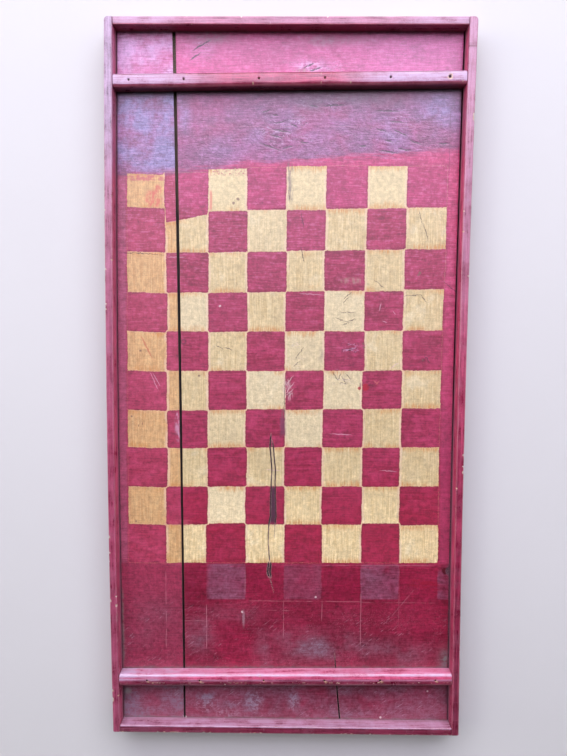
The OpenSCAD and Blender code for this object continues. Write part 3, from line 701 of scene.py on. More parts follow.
    # scaly whitish patches in the lower tray
    scale = g.max(g.max(spot(-81.0, -321.0, 8.0, 4.0, wob=3.0), spot(-31.0, -318.0, 9.0, 4.0, wob=3.0)), g.max(spot(9.0, -318.0, 6.0, 4.0, 1.3, 0.8, 3.0), spot(-58.0, -330.0, 7.0, 3.0, 0.6, 1.6, 3.0)))
    paint = g.mix(scale * g.step(mottle + (grit - 0.5) * 0.8, 0.46, 0.64) * 0.36, paint, (0.38, 0.27, 0.32))
    foot = g.step(edge + (g.fog(0.22, seed=84, detail=3) - 0.5) * 4, 2.6, 0.3)
    paint = g.mix(foot * g.step(Y, 60, -240, 0.20, 0.50), paint, (0.135, 0.105, 0.100))
    # painted shade: darker paint close to the feet of the rim and the battens in the upper part of the board
    paint = g.mix(foot * g.step(Y, 60, 220) * 0.60, paint, (0.060, 0.030, 0.045))
    paint = g.mix(spot(-159.2, -308.0, 3.2, 2.2, wob=0.6) * 0.6, paint, (0.30, 0.32, 0.27))
    paint = g.mix(spot(-42.2, -231.0, 1.3, 0.8, 1.0, 0.17, 0.6) * 0.5, paint, (0.40, 0.24, 0.27))
    # grey-green dust along the left foot and in the corners of the upper tray
    corner = g.max(g.between(X, -166.5, -162.2, 1.0) * g.between(Y, -276, -205, 8), g.max(spot(162.0, -271.0, 4.0, 2.0), spot(-71.0, 331.0, 9.0, 3.0, 0.7, 1.7, 2.0)))
    corner = g.max(corner, spot(29.0, 326.5, 8.0, 3.0, 0.8, 1.8, 2.0))
    paint = g.mix(corner * g.step(mottle, 0.36, 0.56) * g.step(Y, 200, 280, 0.5, 0.22), paint, g.mix(g.step(Y, 200, 280), (0.200, 0.190, 0.165), (0.225, 0.200, 0.215)))
    # a diagonal scratch in the lower right
    nick = g.step(g.abs((X - 117.0) * 0.78 - (Y + 213.6) * 0.62), 0.6, 0.2) * g.between(Y, -227, -201, 2)
    paint = g.mix(nick * breaks * 0.45, paint, (0.36, 0.13, 0.17))
    # painted shadow: the panel paint is darkened along the lower foot of each batten
    batten_shadow_band = g.between(Y, 262, 292, 2) + g.between(Y, -318, -290, 2)
    paint = g.shade(paint, 1.0 - batten_shadow_band * (g.step(edge, 5.0, 0.8) * 0.46 + g.step(edge, 20.0, 2.0) * 0.20))
    chips = spots_of(((143.3, -305.2, 0.8), (96.5, -333.0, 1.0), (168.0, -248.8, 0.9), (29.8, -208.6, 1.0), (-65.2, 79.7, 1.0), (-43.7, -224.5, 1.1), (-101.5, -334.3, 1.6)), 0.4, 1.0)
    paint = g.mix(chips * 0.8, paint, (0.62, 0.50, 0.47))

    # bare wood below the paint, black dirt in the open joint, and packed dust along the stiles
    wood, wood_h = bare_wood(g)
    joint = g.attr("joint")
    grime = g.mix(g.step(g.fog(0.12, 0.02, 0.2, seed=85, detail=3) + g.step(Y, 100, 250) * 0.35, 0.45, 0.8), (0.016, 0.009, 0.007), (0.090, 0.060, 0.030))
    grime = g.mix(g.step(Y, 290, 298), grime, g.mix(g.step(grit, 0.35, 0.65), (0.110, 0.085, 0.050), (0.260, 0.200, 0.130)))
    below = g.mix(g.step(Z, 2.0, 4.4) * joint, wood, grime)
    packed = g.mix(g.step(grit, 0.4, 0.65), (0.085, 0.026, 0.042), (0.175, 0.080, 0.095))
    below = g.mix(g.step(Z, 10.7, 11.2) * (1.0 - joint), below, g.mix(g.step(X, 0.0, 10.0), g.shade(packed, 1.5), packed))
    color = g.mix(top, below, paint)
    # checks and the split: dark down the middle, with a stained band between the two long ones
    color = g.mix(g.sat(smear * (0.55 + grit * 0.9)), color, g.mix(cream, (0.060, 0.016, 0.034), (0.300, 0.225, 0.150)))
    torn_lip = g.step(crack, 0.03, 0.20) * g.step(crack, 0.50, 0.30)
    color = g.mix(torn_lip * g.step(grit, 0.42, 0.60) * 0.55, color, (0.420, 0.300, 0.250))
    color = g.mix(g.step(crack, 0.06, 0.36) * g.step(grit, 0.62, 0.42) * 0.70, color, (0.085, 0.035, 0.035))
    color = g.mix(g.step(crack, 0.26, 0.56) * 0.97, color, (0.014, 0.007, 0.007))

    # gloss
    rough = g.step(is_fresh, 0.0, 1.0, 0.335, 0.47)
    rough = rough + cream * 0.07 + (strokes - 0.5) * 0.10 + (cloud - 0.5) * 0.12 + narrow * 0.03
    rough = rough + dust * 0.22 + foot * 0.15 + g.step(Y, -60, -200) * 0.06
    rough = g.mix(top, (0.85, 0.85, 0.85), g.vec(rough, rough, rough))

    # relief in millimetres
    h = (strokes - 0.5) * is_fresh * (1.0 - cream) * 0.11
    h = h + (g1 - 0.5) * cream * 0.060 + (hatch - 0.5) * 0.07 + (brush - 0.5) * 0.08 + (mottle - 0.5) * 0.12
    h = h + (g.fog(0.42, 0.70, 0.5, seed=91, detail=4, rough=0.62) - 0.5) * (1.0 - is_fresh) * g.step(Y, -60, 60, 0.24, 0.46)
    h = h + g.step(sd, -2.0, -0.8) * g.step(sd, 0.6, -0.3) * field * 0.045
    h = h - pit * 0.10
    h = h * top + wood_h * (1.0 - top)
    return g.finish(color, rough, h, spec=SPEC)


# ------------------------------------------------------------------ rim and batten material
def strip_paint(name, along, batten=False):
    """Painted softwood strip with its grain along X or Y."""
    g = Graph(name)
    X, Y, Z = g.X, g.Y, g.Z
    arris, chip, low = g.attr("arris"), g.attr("chip"), g.attr("foot")
    pale, painted_shading_and_tone = g.attr("pale"), g.attr("painted_shading_and_tone")
    a, b = (0.02, 0.5) if along == "X" else (0.5, 0.02)
    streak = g.fog(a * 1.4, b * 1.6, 0.5, seed=11, detail=4, rough=0.62)
    long_ = g.fog(a * 0.5, b * 0.3, 0.1, seed=12, detail=3)
    mott = g.fog(0.07, seed=13, detail=4, rough=0.6)
    fine = g.fog(a * 6, b * 3, 1.2, seed=14, detail=3, rough=0.6)
    grit = g.fog(0.8, seed=24, detail=3, rough=0.7)
    red = g.mix(g.step(mott, 0.38, 0.62), (0.225, 0.012, 0.042), (0.350, 0.028, 0.078))
    red = g.mix(g.step(streak, 0.44, 0.66) * 0.65, red, (0.420, 0.056, 0.110))
    red = g.mix(g.step(long_, 0.5, 0.66) * 0.5, red, (0.190, 0.010, 0.038))
    # the red is scaled by a per-vertex darkening factor: painted shade on faces turned from the lamps, painted light
    # where it is negative on faces turned to them, besides plain tone along the strips
    red = g.shade(red, (1.0 - painted_shading_and_tone) * (1.0 + (streak - 0.5) * 1.0 + (grit - 0.5) * 0.9 + (fine - 0.5) * 0.5))
    # rubbed arrises: thin paint turning pink, then bare wood
    rub = g.sat(arris * 1.15 + (mott - 0.5) * 0.9 + (streak - 0.5) * 0.7)
    red = g.mix(g.step(rub, 0.55, 0.95) * 0.45, red, (0.480, 0.130, 0.175))
    # pale lilac film on the upper faces: partly chalky dust, partly painted sheen and painted highlights
    film = g.sat(pale * (0.40 + g.step(mott, 0.38, 0.64) * 0.45 + g.step(streak, 0.38, 0.62) * 0.50 + (grit - 0.5) * 0.9))
    red = g.mix(film, red, (0.470, 0.310, 0.430))
    hole = g.sat(arris + (g.fog(0.23, seed=15, detail=4, rough=0.65) - 0.5) * 2.2)
    nick = g.step(hole, 0.97, 1.07) * g.step(g.fog(0.045, seed=16, detail=2), 0.45, 0.56)
    speck = g.step(g.cells(0.5, seed=4), 0.16, 0.07) * g.step(g.fog(0.05, seed=17, detail=3), 0.52, 0.60)
    wear = g.max(g.max(nick * 0.9, g.step(chip, 0.35, 0.6)), speck * 0.55)
    wood = g.mix(g.step(fine, 0.35, 0.7), (0.60, 0.42, 0.27), (0.45, 0.28, 0.17))
    wood = g.mix(g.step(g.fog(0.09, seed=18, detail=2), 0.45, 0.6) * 0.6, wood, (0.70, 0.58, 0.50))
    col = g.mix(wear * 0.92, red, wood)
    # dust caught at the foot
    dust = g.step(g.fog(0.06, seed=19, detail=4, rough=0.65), 0.48, 0.70) * 0.15 + low * 0.45
    col = g.mix(g.sat(dust), col, (0.330, 0.190, 0.235))
    dark = g.attr("seam")
    col = g.mix(dark, col, (0.030, 0.010, 0.014))
    dent = g.attr("dent")
    col = g.mix(g.step(dent, 0.35, 0.8) * 0.95, col, (0.025, 0.012, 0.014))
    col = g.mix(g.attr("bared") * g.step(g.fog(0.35, seed=23, detail=2), 0.38, 0.52), col, (0.60, 0.40, 0.22))
    col = g.mix(g.step(grit, 0.68, 0.74) * 0.5, col, (0.075, 0.012, 0.026))
    # dark lines: scribed across the right stile, a band at the foot of the bottom rail's inner face, and painted shade
    # along the top batten's upper rounding
    line = g.attr("line")
    col = g.mix(g.sat(line * (0.4 + streak * 1.1)), col, (0.120, 0.008, 0.026))
    # scratches across the grain
    scratch = g.step(g.fog(b * 1.6, a * 4, 0.3, seed=20, detail=2, rough=0.4), 0.70, 0.74) * 0.4
    col = g.mix(scratch, col, (0.52, 0.25, 0.32))
    rough = 0.30 + (streak - 0.5) * 0.16 + wear * 0.30 + low * 0.15 + (mott - 0.5) * 0.16 + g.step(dent, 0.35, 0.8) * 0.45
    h = (streak - 0.5) * 0.14 + (fine - 0.5) * 0.07 + (grit - 0.5) * 0.06 - wear * 0.14 + (mott - 0.5) * 0.10 - scratch * 0.08
    # unpainted underside
    if not batten:
        under = g.step(Z, 0.75, 0.35)
        wood2 = g.mix(g.step(fine, 0.35, 0.7), (0.30, 0.185, 0.105), (0.17, 0.098, 0.056))
        col = g.mix(under, col, wood2)
        rough = g.max(rough, under * 0.85)
    return g.finish(col, rough, h, spec=SPEC)


def iron(name):
    g = Graph(name)
    rust = g.fog(0.9, seed=2, detail=4, rough=0.7)
    pit = g.fog(3.2, seed=3, detail=3, rough=0.6)
    col = g.mix(g.step(rust, 0.42, 0.62), (0.028, 0.022, 0.020), (0.115, 0.045, 0.022))
    col = g.mix(g.step(pit, 0.60, 0.72) * 0.5, col, (0.20, 0.085, 0.035))
    return g.finish(col, 0.55 + rust * 0.35, pit * 0.10 + rust * 0.10, spec=0.5, metallic=g.step(rust, 0.60, 0.40) * 0.5)


# ------------------------------------------------------------------ panel boards
def joined(*parts):
    return np.unique(np.round(np.concatenate(parts), 4))


def board_rows(coarse, fine):
    spans = [(-PEND, -296, coarse), (-296, -272, coarse * 0.8), (-272, 200, coarse), (200, 281, fine), (281, 296, coarse), (296, PEND, fine)]
    return joined(*[np.linspace(a, b, max(2, int(round((b - a) / d)) + 1)) for a, b, d in spans])


CHECK = np.array([[-343, -12.5], [-215, -12.8], [-203, -13.4], [-191.9, -16.5], [-183.8, -18.3], [-173.6, -17.4], [-161.4, -18.3], [-151.3, -19.0],
                  [-136.1, -18.3], [-126, -16.8], [-110.9, -16.8], [-96.9, -16.3], [-80.9, -15.6], [-67, -16.5], [-59, -17.5], [-44.2, -16.5], [-30, -14.8],
                  [60, -8.0], [150, -1.0], [175.9, 0.7], [189.9, -0.8], [203.9, 1.0], [216.9, 2.4], [343, 3.5]])
SECOND = np.array([[-343, 6.0], [-150, 6.0], [-133, 6.0], [-125.9, 5.6], [-110.9, 5.0], [-95.9, 3.9], [-80.9, 3.6], [-66, 3.2], [-58, 3.4], [-48, 1.0], [-42, 0.6], [343, 0.6]])
SPLIT = np.array([[-343, 54.4], [-333.0, 53.9], [-317.2, 52.2], [-302.5, 51.0], [-288.9, 49.9], [-274.4, 48.7], [-260, 47.9], [343, 44.0]])


def guide(table, y):
    k = 2 * HL / 64
    out = np.zeros_like(y)
    for d in (-1, 0, 1):
        out = out + np.interp(y + d * k * 0.12, table[:, 0], table[:, 1]) / 3
    return out + DX


def surface(x, y):
    """Relief of the painted face over its flat level, in millimetres."""
    h = 0.16 * noise(x / 90, y / 160, 1) + 0.05 * noise(x / 22, y / 60, 2)
    h = h + 0.030 * noise(x / 1.9, y / 46, 3) + 0.045 * noise(x / 5.5, y / 120, 4)
    h = h + 0.018 * noise(x / 2.6, y / 2.2, 5)
    # shrunken, wrinkled paint above the field and in the top tray
    warp = 1.6 * noise(x / 19, y / 9, 6)
    def ripple(cx, cy, seed):
        n = noise(x / cx + 0.7 * warp / 3, (y + 2.2 * warp) / cy, seed)
        return (1 - np.abs(n) * 3.0).clip(0, 1) ** 2
    fold = ripple(17, 4.2, 7) + 0.6 * ripple(8, 2.4, 8)
    where = step(y, 203, 216) * step(x, -112, -96)
    patchy = step(noise(x / 42, y / 26, 9), -0.28, 0.28)
    field = where * 0.30 * patchy
    for cx, cy, rx, ry, amp in ((-6, 243, 26, 22, 1.3), (20, 304, 16, 8, 1.6), (98, 243, 24, 22, 1.2), (-82, 322, 20, 10, 0.7), (40, 268, 40, 8, 0.8)):
        field = field + amp * bell(np.hypot((x - cx) / rx, (y - cy) / ry), 1.0) * where
    h = h + 0.075 * field * (fold - 0.25) * step(y, 200, 212)
    # cracked skin over single squares, and knocks
    for cx, cy, rx, ry, amp in ((65, 37, 9, 4, 0.22), (10, 42, 8, 16, 0.10), (53, -1, 14, 8, 0.10), (60, -30, 22, 7, 0.07), (-3, 195, 6, 22, 0.12),
                                (-137, 63, 26, 3, 0.10), (-96, 62, 6, 3, 0.10), (62, 72, 22, 6, 0.10)):
        h = h + amp * bell(np.hypot((x - cx) / rx, (y - cy) / ry), 1.0) * (fold - 0.3)
    for x0, y0, x1, y1 in CREASES:
        size = math.hypot(x1 - x0, y1 - y0)
        cx, cy = (x1 - x0) / size, (y1 - y0) / size
        far = (x - x0) * cx + (y - y0) * cy
        off = (y - y0) * cx - (x - x0) * cy + 1.3 * noise(x / 3.5, y / 3.5, 11)
        ends = step(far, -1.5, 1.0) * step(far, size + 1.5, size - 1.0)
        h = h + ends * (0.30 * bell(off + 1.6, 0.9) - 0.34 * bell(off, 0.8))
    rng = np.random.default_rng(7)
    for _ in range(46):
        cx, cy, r = rng.uniform(-165, 165), rng.uniform(-332, 332), rng.uniform(0.8, 2.4)
        h = h - rng.uniform(0.05, 0.20) * bell(np.hypot(x - cx, (y - cy) * rng.uniform(0.5, 1.0)), r)
    return h


def patches(x, y, table):
    """Soft ellipses: middle, half widths and strength."""
    out = 0 * x
    for cx, cy, rx, ry, k in table:
        out = np.maximum(out, k * bell(np.hypot((x - cx) / rx, (y - cy) / ry), 1.0))
    return out


def field_attrs(x, y):
    u, v = lines_at(x, y)
    line = np.interp(x, FRESH[:, 0] + DX, FRESH[:, 1])
    fresh = np.minimum(line - y, y + 175.0)
    bats = np.minimum(np.abs(y - batten_mid(x, 1)), np.abs(y - batten_mid(x, -1))) - BAT_W / 2
    foot = np.minimum.reduce([x - left_in(y), right_in(y) - x, PEND - np.abs(y), bats])
    on_narrow = x < joint_mid(y)
    lilac = patches(x, y, ((-99, 262, 7, 22, 0.55), (142, 264, 24, 20, 0.70), (-28, 240, 24, 14, 0.30), (98, 244, 28, 26, 0.42), (-62, 228, 40, 16, 0.28),
                           (8, 250, 30, 22, 0.30), (20, 240, 110, 60, 0.24), (12, 303, 16, 7, 0.5), (34, 303, 14, 7, 0.5), (-82, 318, 14, 12, 0.25)))
    lilac = np.where(on_narrow, np.maximum(0.80 * step(y, 199, 214), patches(x, y, ((-132, 322, 22, 6, 1.0),))), lilac)
    mauve = patches(x, y, ((30, -260, 40, 15, 0.95), (96, -266, 46, 13, 0.70), (-86, -250, 15, 17, 0.6), (-22, -264, 10, 18, 0.55), (6, -256, 10, 14, 0.55),
                           (60, -232, 90, 16, 0.06), (-130, -240, 26, 30, 0.25), (-55, -228, 30, 10, 0.25)))
    tray = np.where(on_narrow, 0.85, 0.45) * step(y, -293, -297)
    mauve = np.maximum(mauve, tray)
    mauve = np.maximum(mauve, patches(x, y, ((-80, -314, 14, 12, 0.95), (-34, -320, 14, 18, 0.95), (8, -318, 11, 15, 0.9), (-58, -322, 20, 8, 0.7), (60, -330, 60, 6, 0.6))) * step(y, -293, -297))
    ashy = patches(x, y, ((62, 276, 62, 8, 0.40), (22, 272, 16, 8, 0.45), (160, -272, 6, 12, 0.8), (-166, -262, 4, 16, 0.7), (-70, 329, 26, 7, 0.30), (45, 328, 34, 6, 0.35)))
    crease = patches(x, y, ((-4, 248, 26, 17, 1.2), (30, 271, 26, 8, 1.2), (100, 252, 20, 18, 0.85), (104, 226, 16, 7, 0.7), (-18, 231, 15, 7, 0.9), (16, 238, 18, 12, 0.6),
                            (-80, 318, 13, 12, 0.65), (25, 303, 26, 8, 0.8), (110, 318, 20, 10, 0.35), (63, 39, 12, 6, 1.2), (53, 10, 10, 9, 0.8), (8, 34, 8, 16, 0.4)))
    return {"col": u, "row": v, "fresh": fresh, "edge": np.clip(foot, 0, 40), "lilac": lilac, "mauve": mauve, "ashy": ashy, "crease": crease}


def narrow_board(mat):
    y = board_rows(1.45, 1.1)
    n = len(y)
    xl, xr = left_in(y) + 0.9, joint_mid(y) - joint_half(y)
    xr = xr - 0.16 * (0.6 + noise(y / 14, 0.3 + 0 * y, 30)).clip(0, 2) - 0.35 * (noise(y / 5, 0.7 + 0 * y, 31) - 0.36).clip(0, 1)
    t = np.concatenate([[0, 0.004, 0.012], np.linspace(0.03, 0.97, 42), [0.985, 0.993, 1.0]])
    x = xl[:, None] + (xr - xl)[:, None] * t[None]
    yy = np.repeat(y[:, None], len(t), 1)
    z = PT - 0.18 + surface(x, yy)
    ease = np.minimum(x - xl[:, None], xr[:, None] - x)
    z = z - 0.45 * (1 - ease / 0.75).clip(0, 1) ** 2
    z = np.minimum(z, PT)
    under = np.linspace(0, 1, 18)
    xb = xr[:, None] + (xl - xr)[:, None] * under[None]
    yb = np.repeat(y[:, None], len(under), 1)
    zb = 0.02 + 0.10 * (0.5 + 0.7 * noise(xb / 9, yb / 3.5, 33)).clip(0, 1) + 0.10 * (0.5 + noise(xb / 30, yb / 90, 34)).clip(0, 1)
    one = np.ones(n)
    side = []
    # groove side, top to bottom
    for dx, dz in ((0, 11.4), (0, 9.6), (0, 8.72), (-7.0, 8.70), (-7.0, 4.30), (0, 4.28), (0, 2.2)):
        side.append(np.stack([xr + dx, y, dz * one], -1))
    pack = np.minimum(left_in(y) + 0.12, xl)
    left = [np.stack([pack, y, dz * one], -1) for dz in (3.0, 6.5, 10.5, 11.55)] + [np.stack([xl, y, 11.9 * one], -1)]
    P = np.concatenate([np.stack([x, yy, z], -1), np.stack(side, 1), np.stack([xb, yb, zb], -1), np.stack(left, 1)], 1)
    a = field_attrs(P[..., 0], P[..., 1])
    a["narrow"] = 1.0
    a["joint"] = step(P[..., 0], xl[:, None] + 20, xl[:, None] + 30)
    a["crack"] = 0.0
    a["smear"] = 0.0
    ob = sweep("narrow_panel_board_wood", P, a)
    return dress(ob, mat, "painted_panel", "narrow_panel_board")


def wide_board(mat):
    y = board_rows(1.78, 1.12)
    n = len(y)
    xl, xr = joint_mid(y) + joint_half(y), right_in(y) - 1.4
    xl = xl + 0.16 * (0.6 + noise(y / 12, 0.2 + 0 * y, 35)).clip(0, 2) + 0.35 * (noise(y / 6, 0.9 + 0 * y, 36) - 0.34).clip(0, 1)
    ca, sp = guide(CHECK, y), guide(SPLIT, y)
    near_a = np.array([-3.0, -1.9, -1.1, -0.7, -0.4, 0.0, 0.4, 0.7, 1.1, 1.6, 2.1, 2.5, 2.9, 3.3, 3.7, 4.1, 4.5, 4.9, 5.3, 5.7, 6.1, 6.6, 7.6])
    near_s = np.array([-2.2, -1.2, -0.7, -0.35, 0.0, 0.35, 0.7, 1.2, 2.2])

    def fill(a, b, count):
        t = np.linspace(0, 1, count + 1)[1:-1]
        return a[:, None] + (b - a)[:, None] * t[None]

    left_edge = xl[:, None] + np.array([0, 0.12, 0.35, 0.8])[None]
    right_edge = xr[:, None] - np.array([0.8, 0.35, 0.12, 0])[None]
    x = np.concatenate([left_edge, fill(xl + 0.8, ca + near_a[0], 58), ca[:, None] + near_a[None],
                        fill(ca + near_a[-1], sp + near_s[0], 38), sp[:, None] + near_s[None],
                        fill(sp + near_s[-1], xr - 0.8, 72), right_edge], 1)
    cols = x.shape[1]
    yy = np.repeat(y[:, None], cols, 1)
    z = PT - 0.18 + surface(x, yy)
    ease = np.minimum(x - xl[:, None], xr[:, None] - x)
    z = z - 0.45 * (1 - ease / 0.75).clip(0, 1) ** 2
    # drying checks
    da = x - ca[:, None]
    off = np.interp(yy, SECOND[:, 0], SECOND[:, 1])
    flick = 0.80 + 0.45 * noise(yy / 9, 0.5 + 0 * yy, 40)
    amp_a = flick * step(yy, -176, -168) * step(yy, -42, -50)
    amp_a = amp_a * (1 - 0.35 * step(yy, -136, -140))
    amp_b = step(yy, -136, -130) * step(yy, -46, -58) * (0.75 + 0.5 * noise(yy / 8, 0.1 + 0 * yy, 41))
    amp_b = amp_b + 0.28 * step(yy, -153, -146) * step(yy, -130, -134)
    blotch = step(yy, -190, -186) * step(yy, -172, -176)
    amp_low = 0.30 * step(yy, -208, -200) * step(yy, -186, -190)
    amp_k = step(yy, 172, 182) * step(yy, 216, 206) * (0.5 + 0.5 * noise(yy / 9, 0.2 + 0 * yy, 42))
    jag = 0.35 * noise(yy / 3.2, 0.3 + 0 * yy, 43)
    crack = bell(da - jag, 0.55) * (amp_a + amp_low + 0.55 * amp_k) + bell(da - off - jag, 0.50) * amp_b
    crack = np.maximum(crack, 0.85 * blotch * np.maximum(bell(da + 1.1, 0.7), bell(da - 1.3, 0.7)))
    z = z - 1.3 * crack.clip(0, 1) - 0.12 * bell(da - off / 2, 3.6) * amp_a
    in_band = step(da, -1.0, 0.4) * step(da, off + 1.0, off - 0.4)
    smear = in_band * (0.95 * step(yy, -137, -131) * step(yy, -95, -99) + 0.30 * step(yy, -97, -93) * step(yy, -56, -62) + 0.25 * step(yy, -60, -57) * step(yy, -43, -48))
    smear = smear + 0.55 * blotch * bell(da, 1.8)
    # split through the lower end, opening toward the end
    ds = x - sp[:, None]
    wide = 0.62 * step(yy, -266, -PEND)
    open_ = (ds == 0) | (np.abs(ds) < wide * 0.9)
    z = np.where((np.abs(ds) < 0.2) & (yy < -270), 1.6 + (z - 1.6) * step(yy, -290, -270), z)
    z = np.where((np.abs(np.abs(ds) - 0.35) < 0.1) & (yy < -286), np.minimum(z, 9.5 + (z - 9.5) * step(yy, -312, -286)), z)
    crack = np.maximum(crack, bell(ds, 0.42 + wide * 0.35) * step(yy, -264, -276) * 1.15)
    # notch on the right edge beside the field
    z = z - 1.4 * bell(np.hypot((x - xr[:, None]) / 3.0, (yy + 181) / 3.6), 1.0)
    z = np.minimum(z, PT)
    under = np.linspace(0, 1, 22)
    xb = xr[:, None] + (xl - xr)[:, None] * under[None]
    yb = np.repeat(y[:, None], len(under), 1)
    zb = 0.02 + 0.10 * (0.5 + 0.7 * noise(xb / 12, yb / 3.5, 37)).clip(0, 1) + 0.14 * (0.5 + noise(xb / 50, yb / 120, 38)).clip(0, 1)
    one = np.ones(n)
    pack = xr + 1.25 * step(y, 60, -80) + 0.55 * step(y, 40, 110) * step(y, 215, 195)
    right = [np.stack([xr, y, 11.9 * one], -1)] + [np.stack([pack, y, dz * one], -1) for dz in (11.5, 7.0, 3.0)]
    side = []
    for dx, dz in ((0, 2.2), (0, 4.46), (-6.6, 4.50), (-7.0, 4.9), (-7.0, 8.1), (-6.6, 8.50), (0, 8.52), (0, 10.4), (0, 11.8)):
        side.append(np.stack([xl + dx, y, dz * one], -1))
    P = np.concatenate([np.stack([x, yy, z], -1), np.stack(right, 1), np.stack([xb, yb, zb], -1), np.stack(side, 1)], 1)
    a = field_attrs(P[..., 0], P[..., 1])
    a["narrow"] = 0.0
    a["joint"] = step(P[..., 0], xl[:, None] + 30, xl[:, None] + 20)
    full = np.zeros(P.shape[:2])
    full[:, :cols] = crack
    a["crack"] = full
    stained = np.zeros(P.shape[:2])
    stained[:, :cols] = smear
    a["smear"] = stained
    ob = sweep("wide_panel_board_wood", P, a)
    return dress(ob, mat, "painted_panel", "wide_panel_board")


# ------------------------------------------------------------------ strips
def section(w, h, r, nw, nh, arc=5, r_top=None):
    """Ring of points of a w by h rectangle from its middle bottom: across, up, and how near an arris each is."""
    pts, near = [], []
    rt = r if r_top is None else r_top

    def corner(cx, cz, rr, a0, upper):
        for k in range(arc):
            a = math.radians(a0 + 90 * k / (arc - 1))
            pts.append((cx + rr * math.cos(a), cz + rr * math.sin(a)))
            near.append((1.0 if upper else 0.6) * (1 - abs(k - (arc - 1) / 2) / ((arc - 1) / 2) * 0.35))

    def straight(p, q, count):
        for k in range(1, count + 1):
            t = k / (count + 1)
            pts.append((p[0] + (q[0] - p[0]) * t, p[1] + (q[1] - p[1]) * t))
            near.append(0.0)

    b, t = r, rt
    corner(w / 2 - b, b, b, -90, False)
    straight((w / 2, b), (w / 2, h - t), nh)
    corner(w / 2 - t, h - t, t, 0, True)
    straight((w / 2 - t, h), (-w / 2 + t, h), nw)
    corner(-w / 2 + t, h - t, t, 90, True)
    straight((-w / 2, h - t), (-w / 2, b), nh)
    corner(-w / 2 + b, b, b, 180, False)
    straight((-w / 2 + b, 0), (w / 2 - b, 0), nw)
    return np.array(pts), np.array(near)


def stations(a, b, pitch, fine=()):
    out = [np.linspace(a, b, int(round((b - a) / pitch)) + 1), a + np.array([0, 0.15, 0.35, 0.6, 0.9]), b - np.array([0, 0.15, 0.35, 0.6, 0.9])]
    for c, r, d in fine:
        out.append(np.arange(c - r, c + r + d / 2, d))
    s = np.unique(np.round(np.concatenate(out), 3))
    s = s[(s >= a) & (s <= b)]
    keep = [s[0]]
    for v in s[1:-1]:
        if v - keep[-1] > 0.09:
            keep.append(v)
    return np.array(keep + [s[-1]])


def knocks(s, side, seed, density=0.30, depth=0.85):
    """Chips along one arris: how deep at each station, in millimetres."""
    n = noise(s / 4.6, side * 3.3 + 0 * s, seed) + 0.5 * noise(s / 1.7, side * 1.3 + 0 * s, seed + 1)
    m = noise(s / 46, side * 2.1 + 0 * s, seed + 2)
    return (depth * step(n - 0.52 + 0.9 * m * density * 2, 0.0, 0.16)).clip(0, depth)


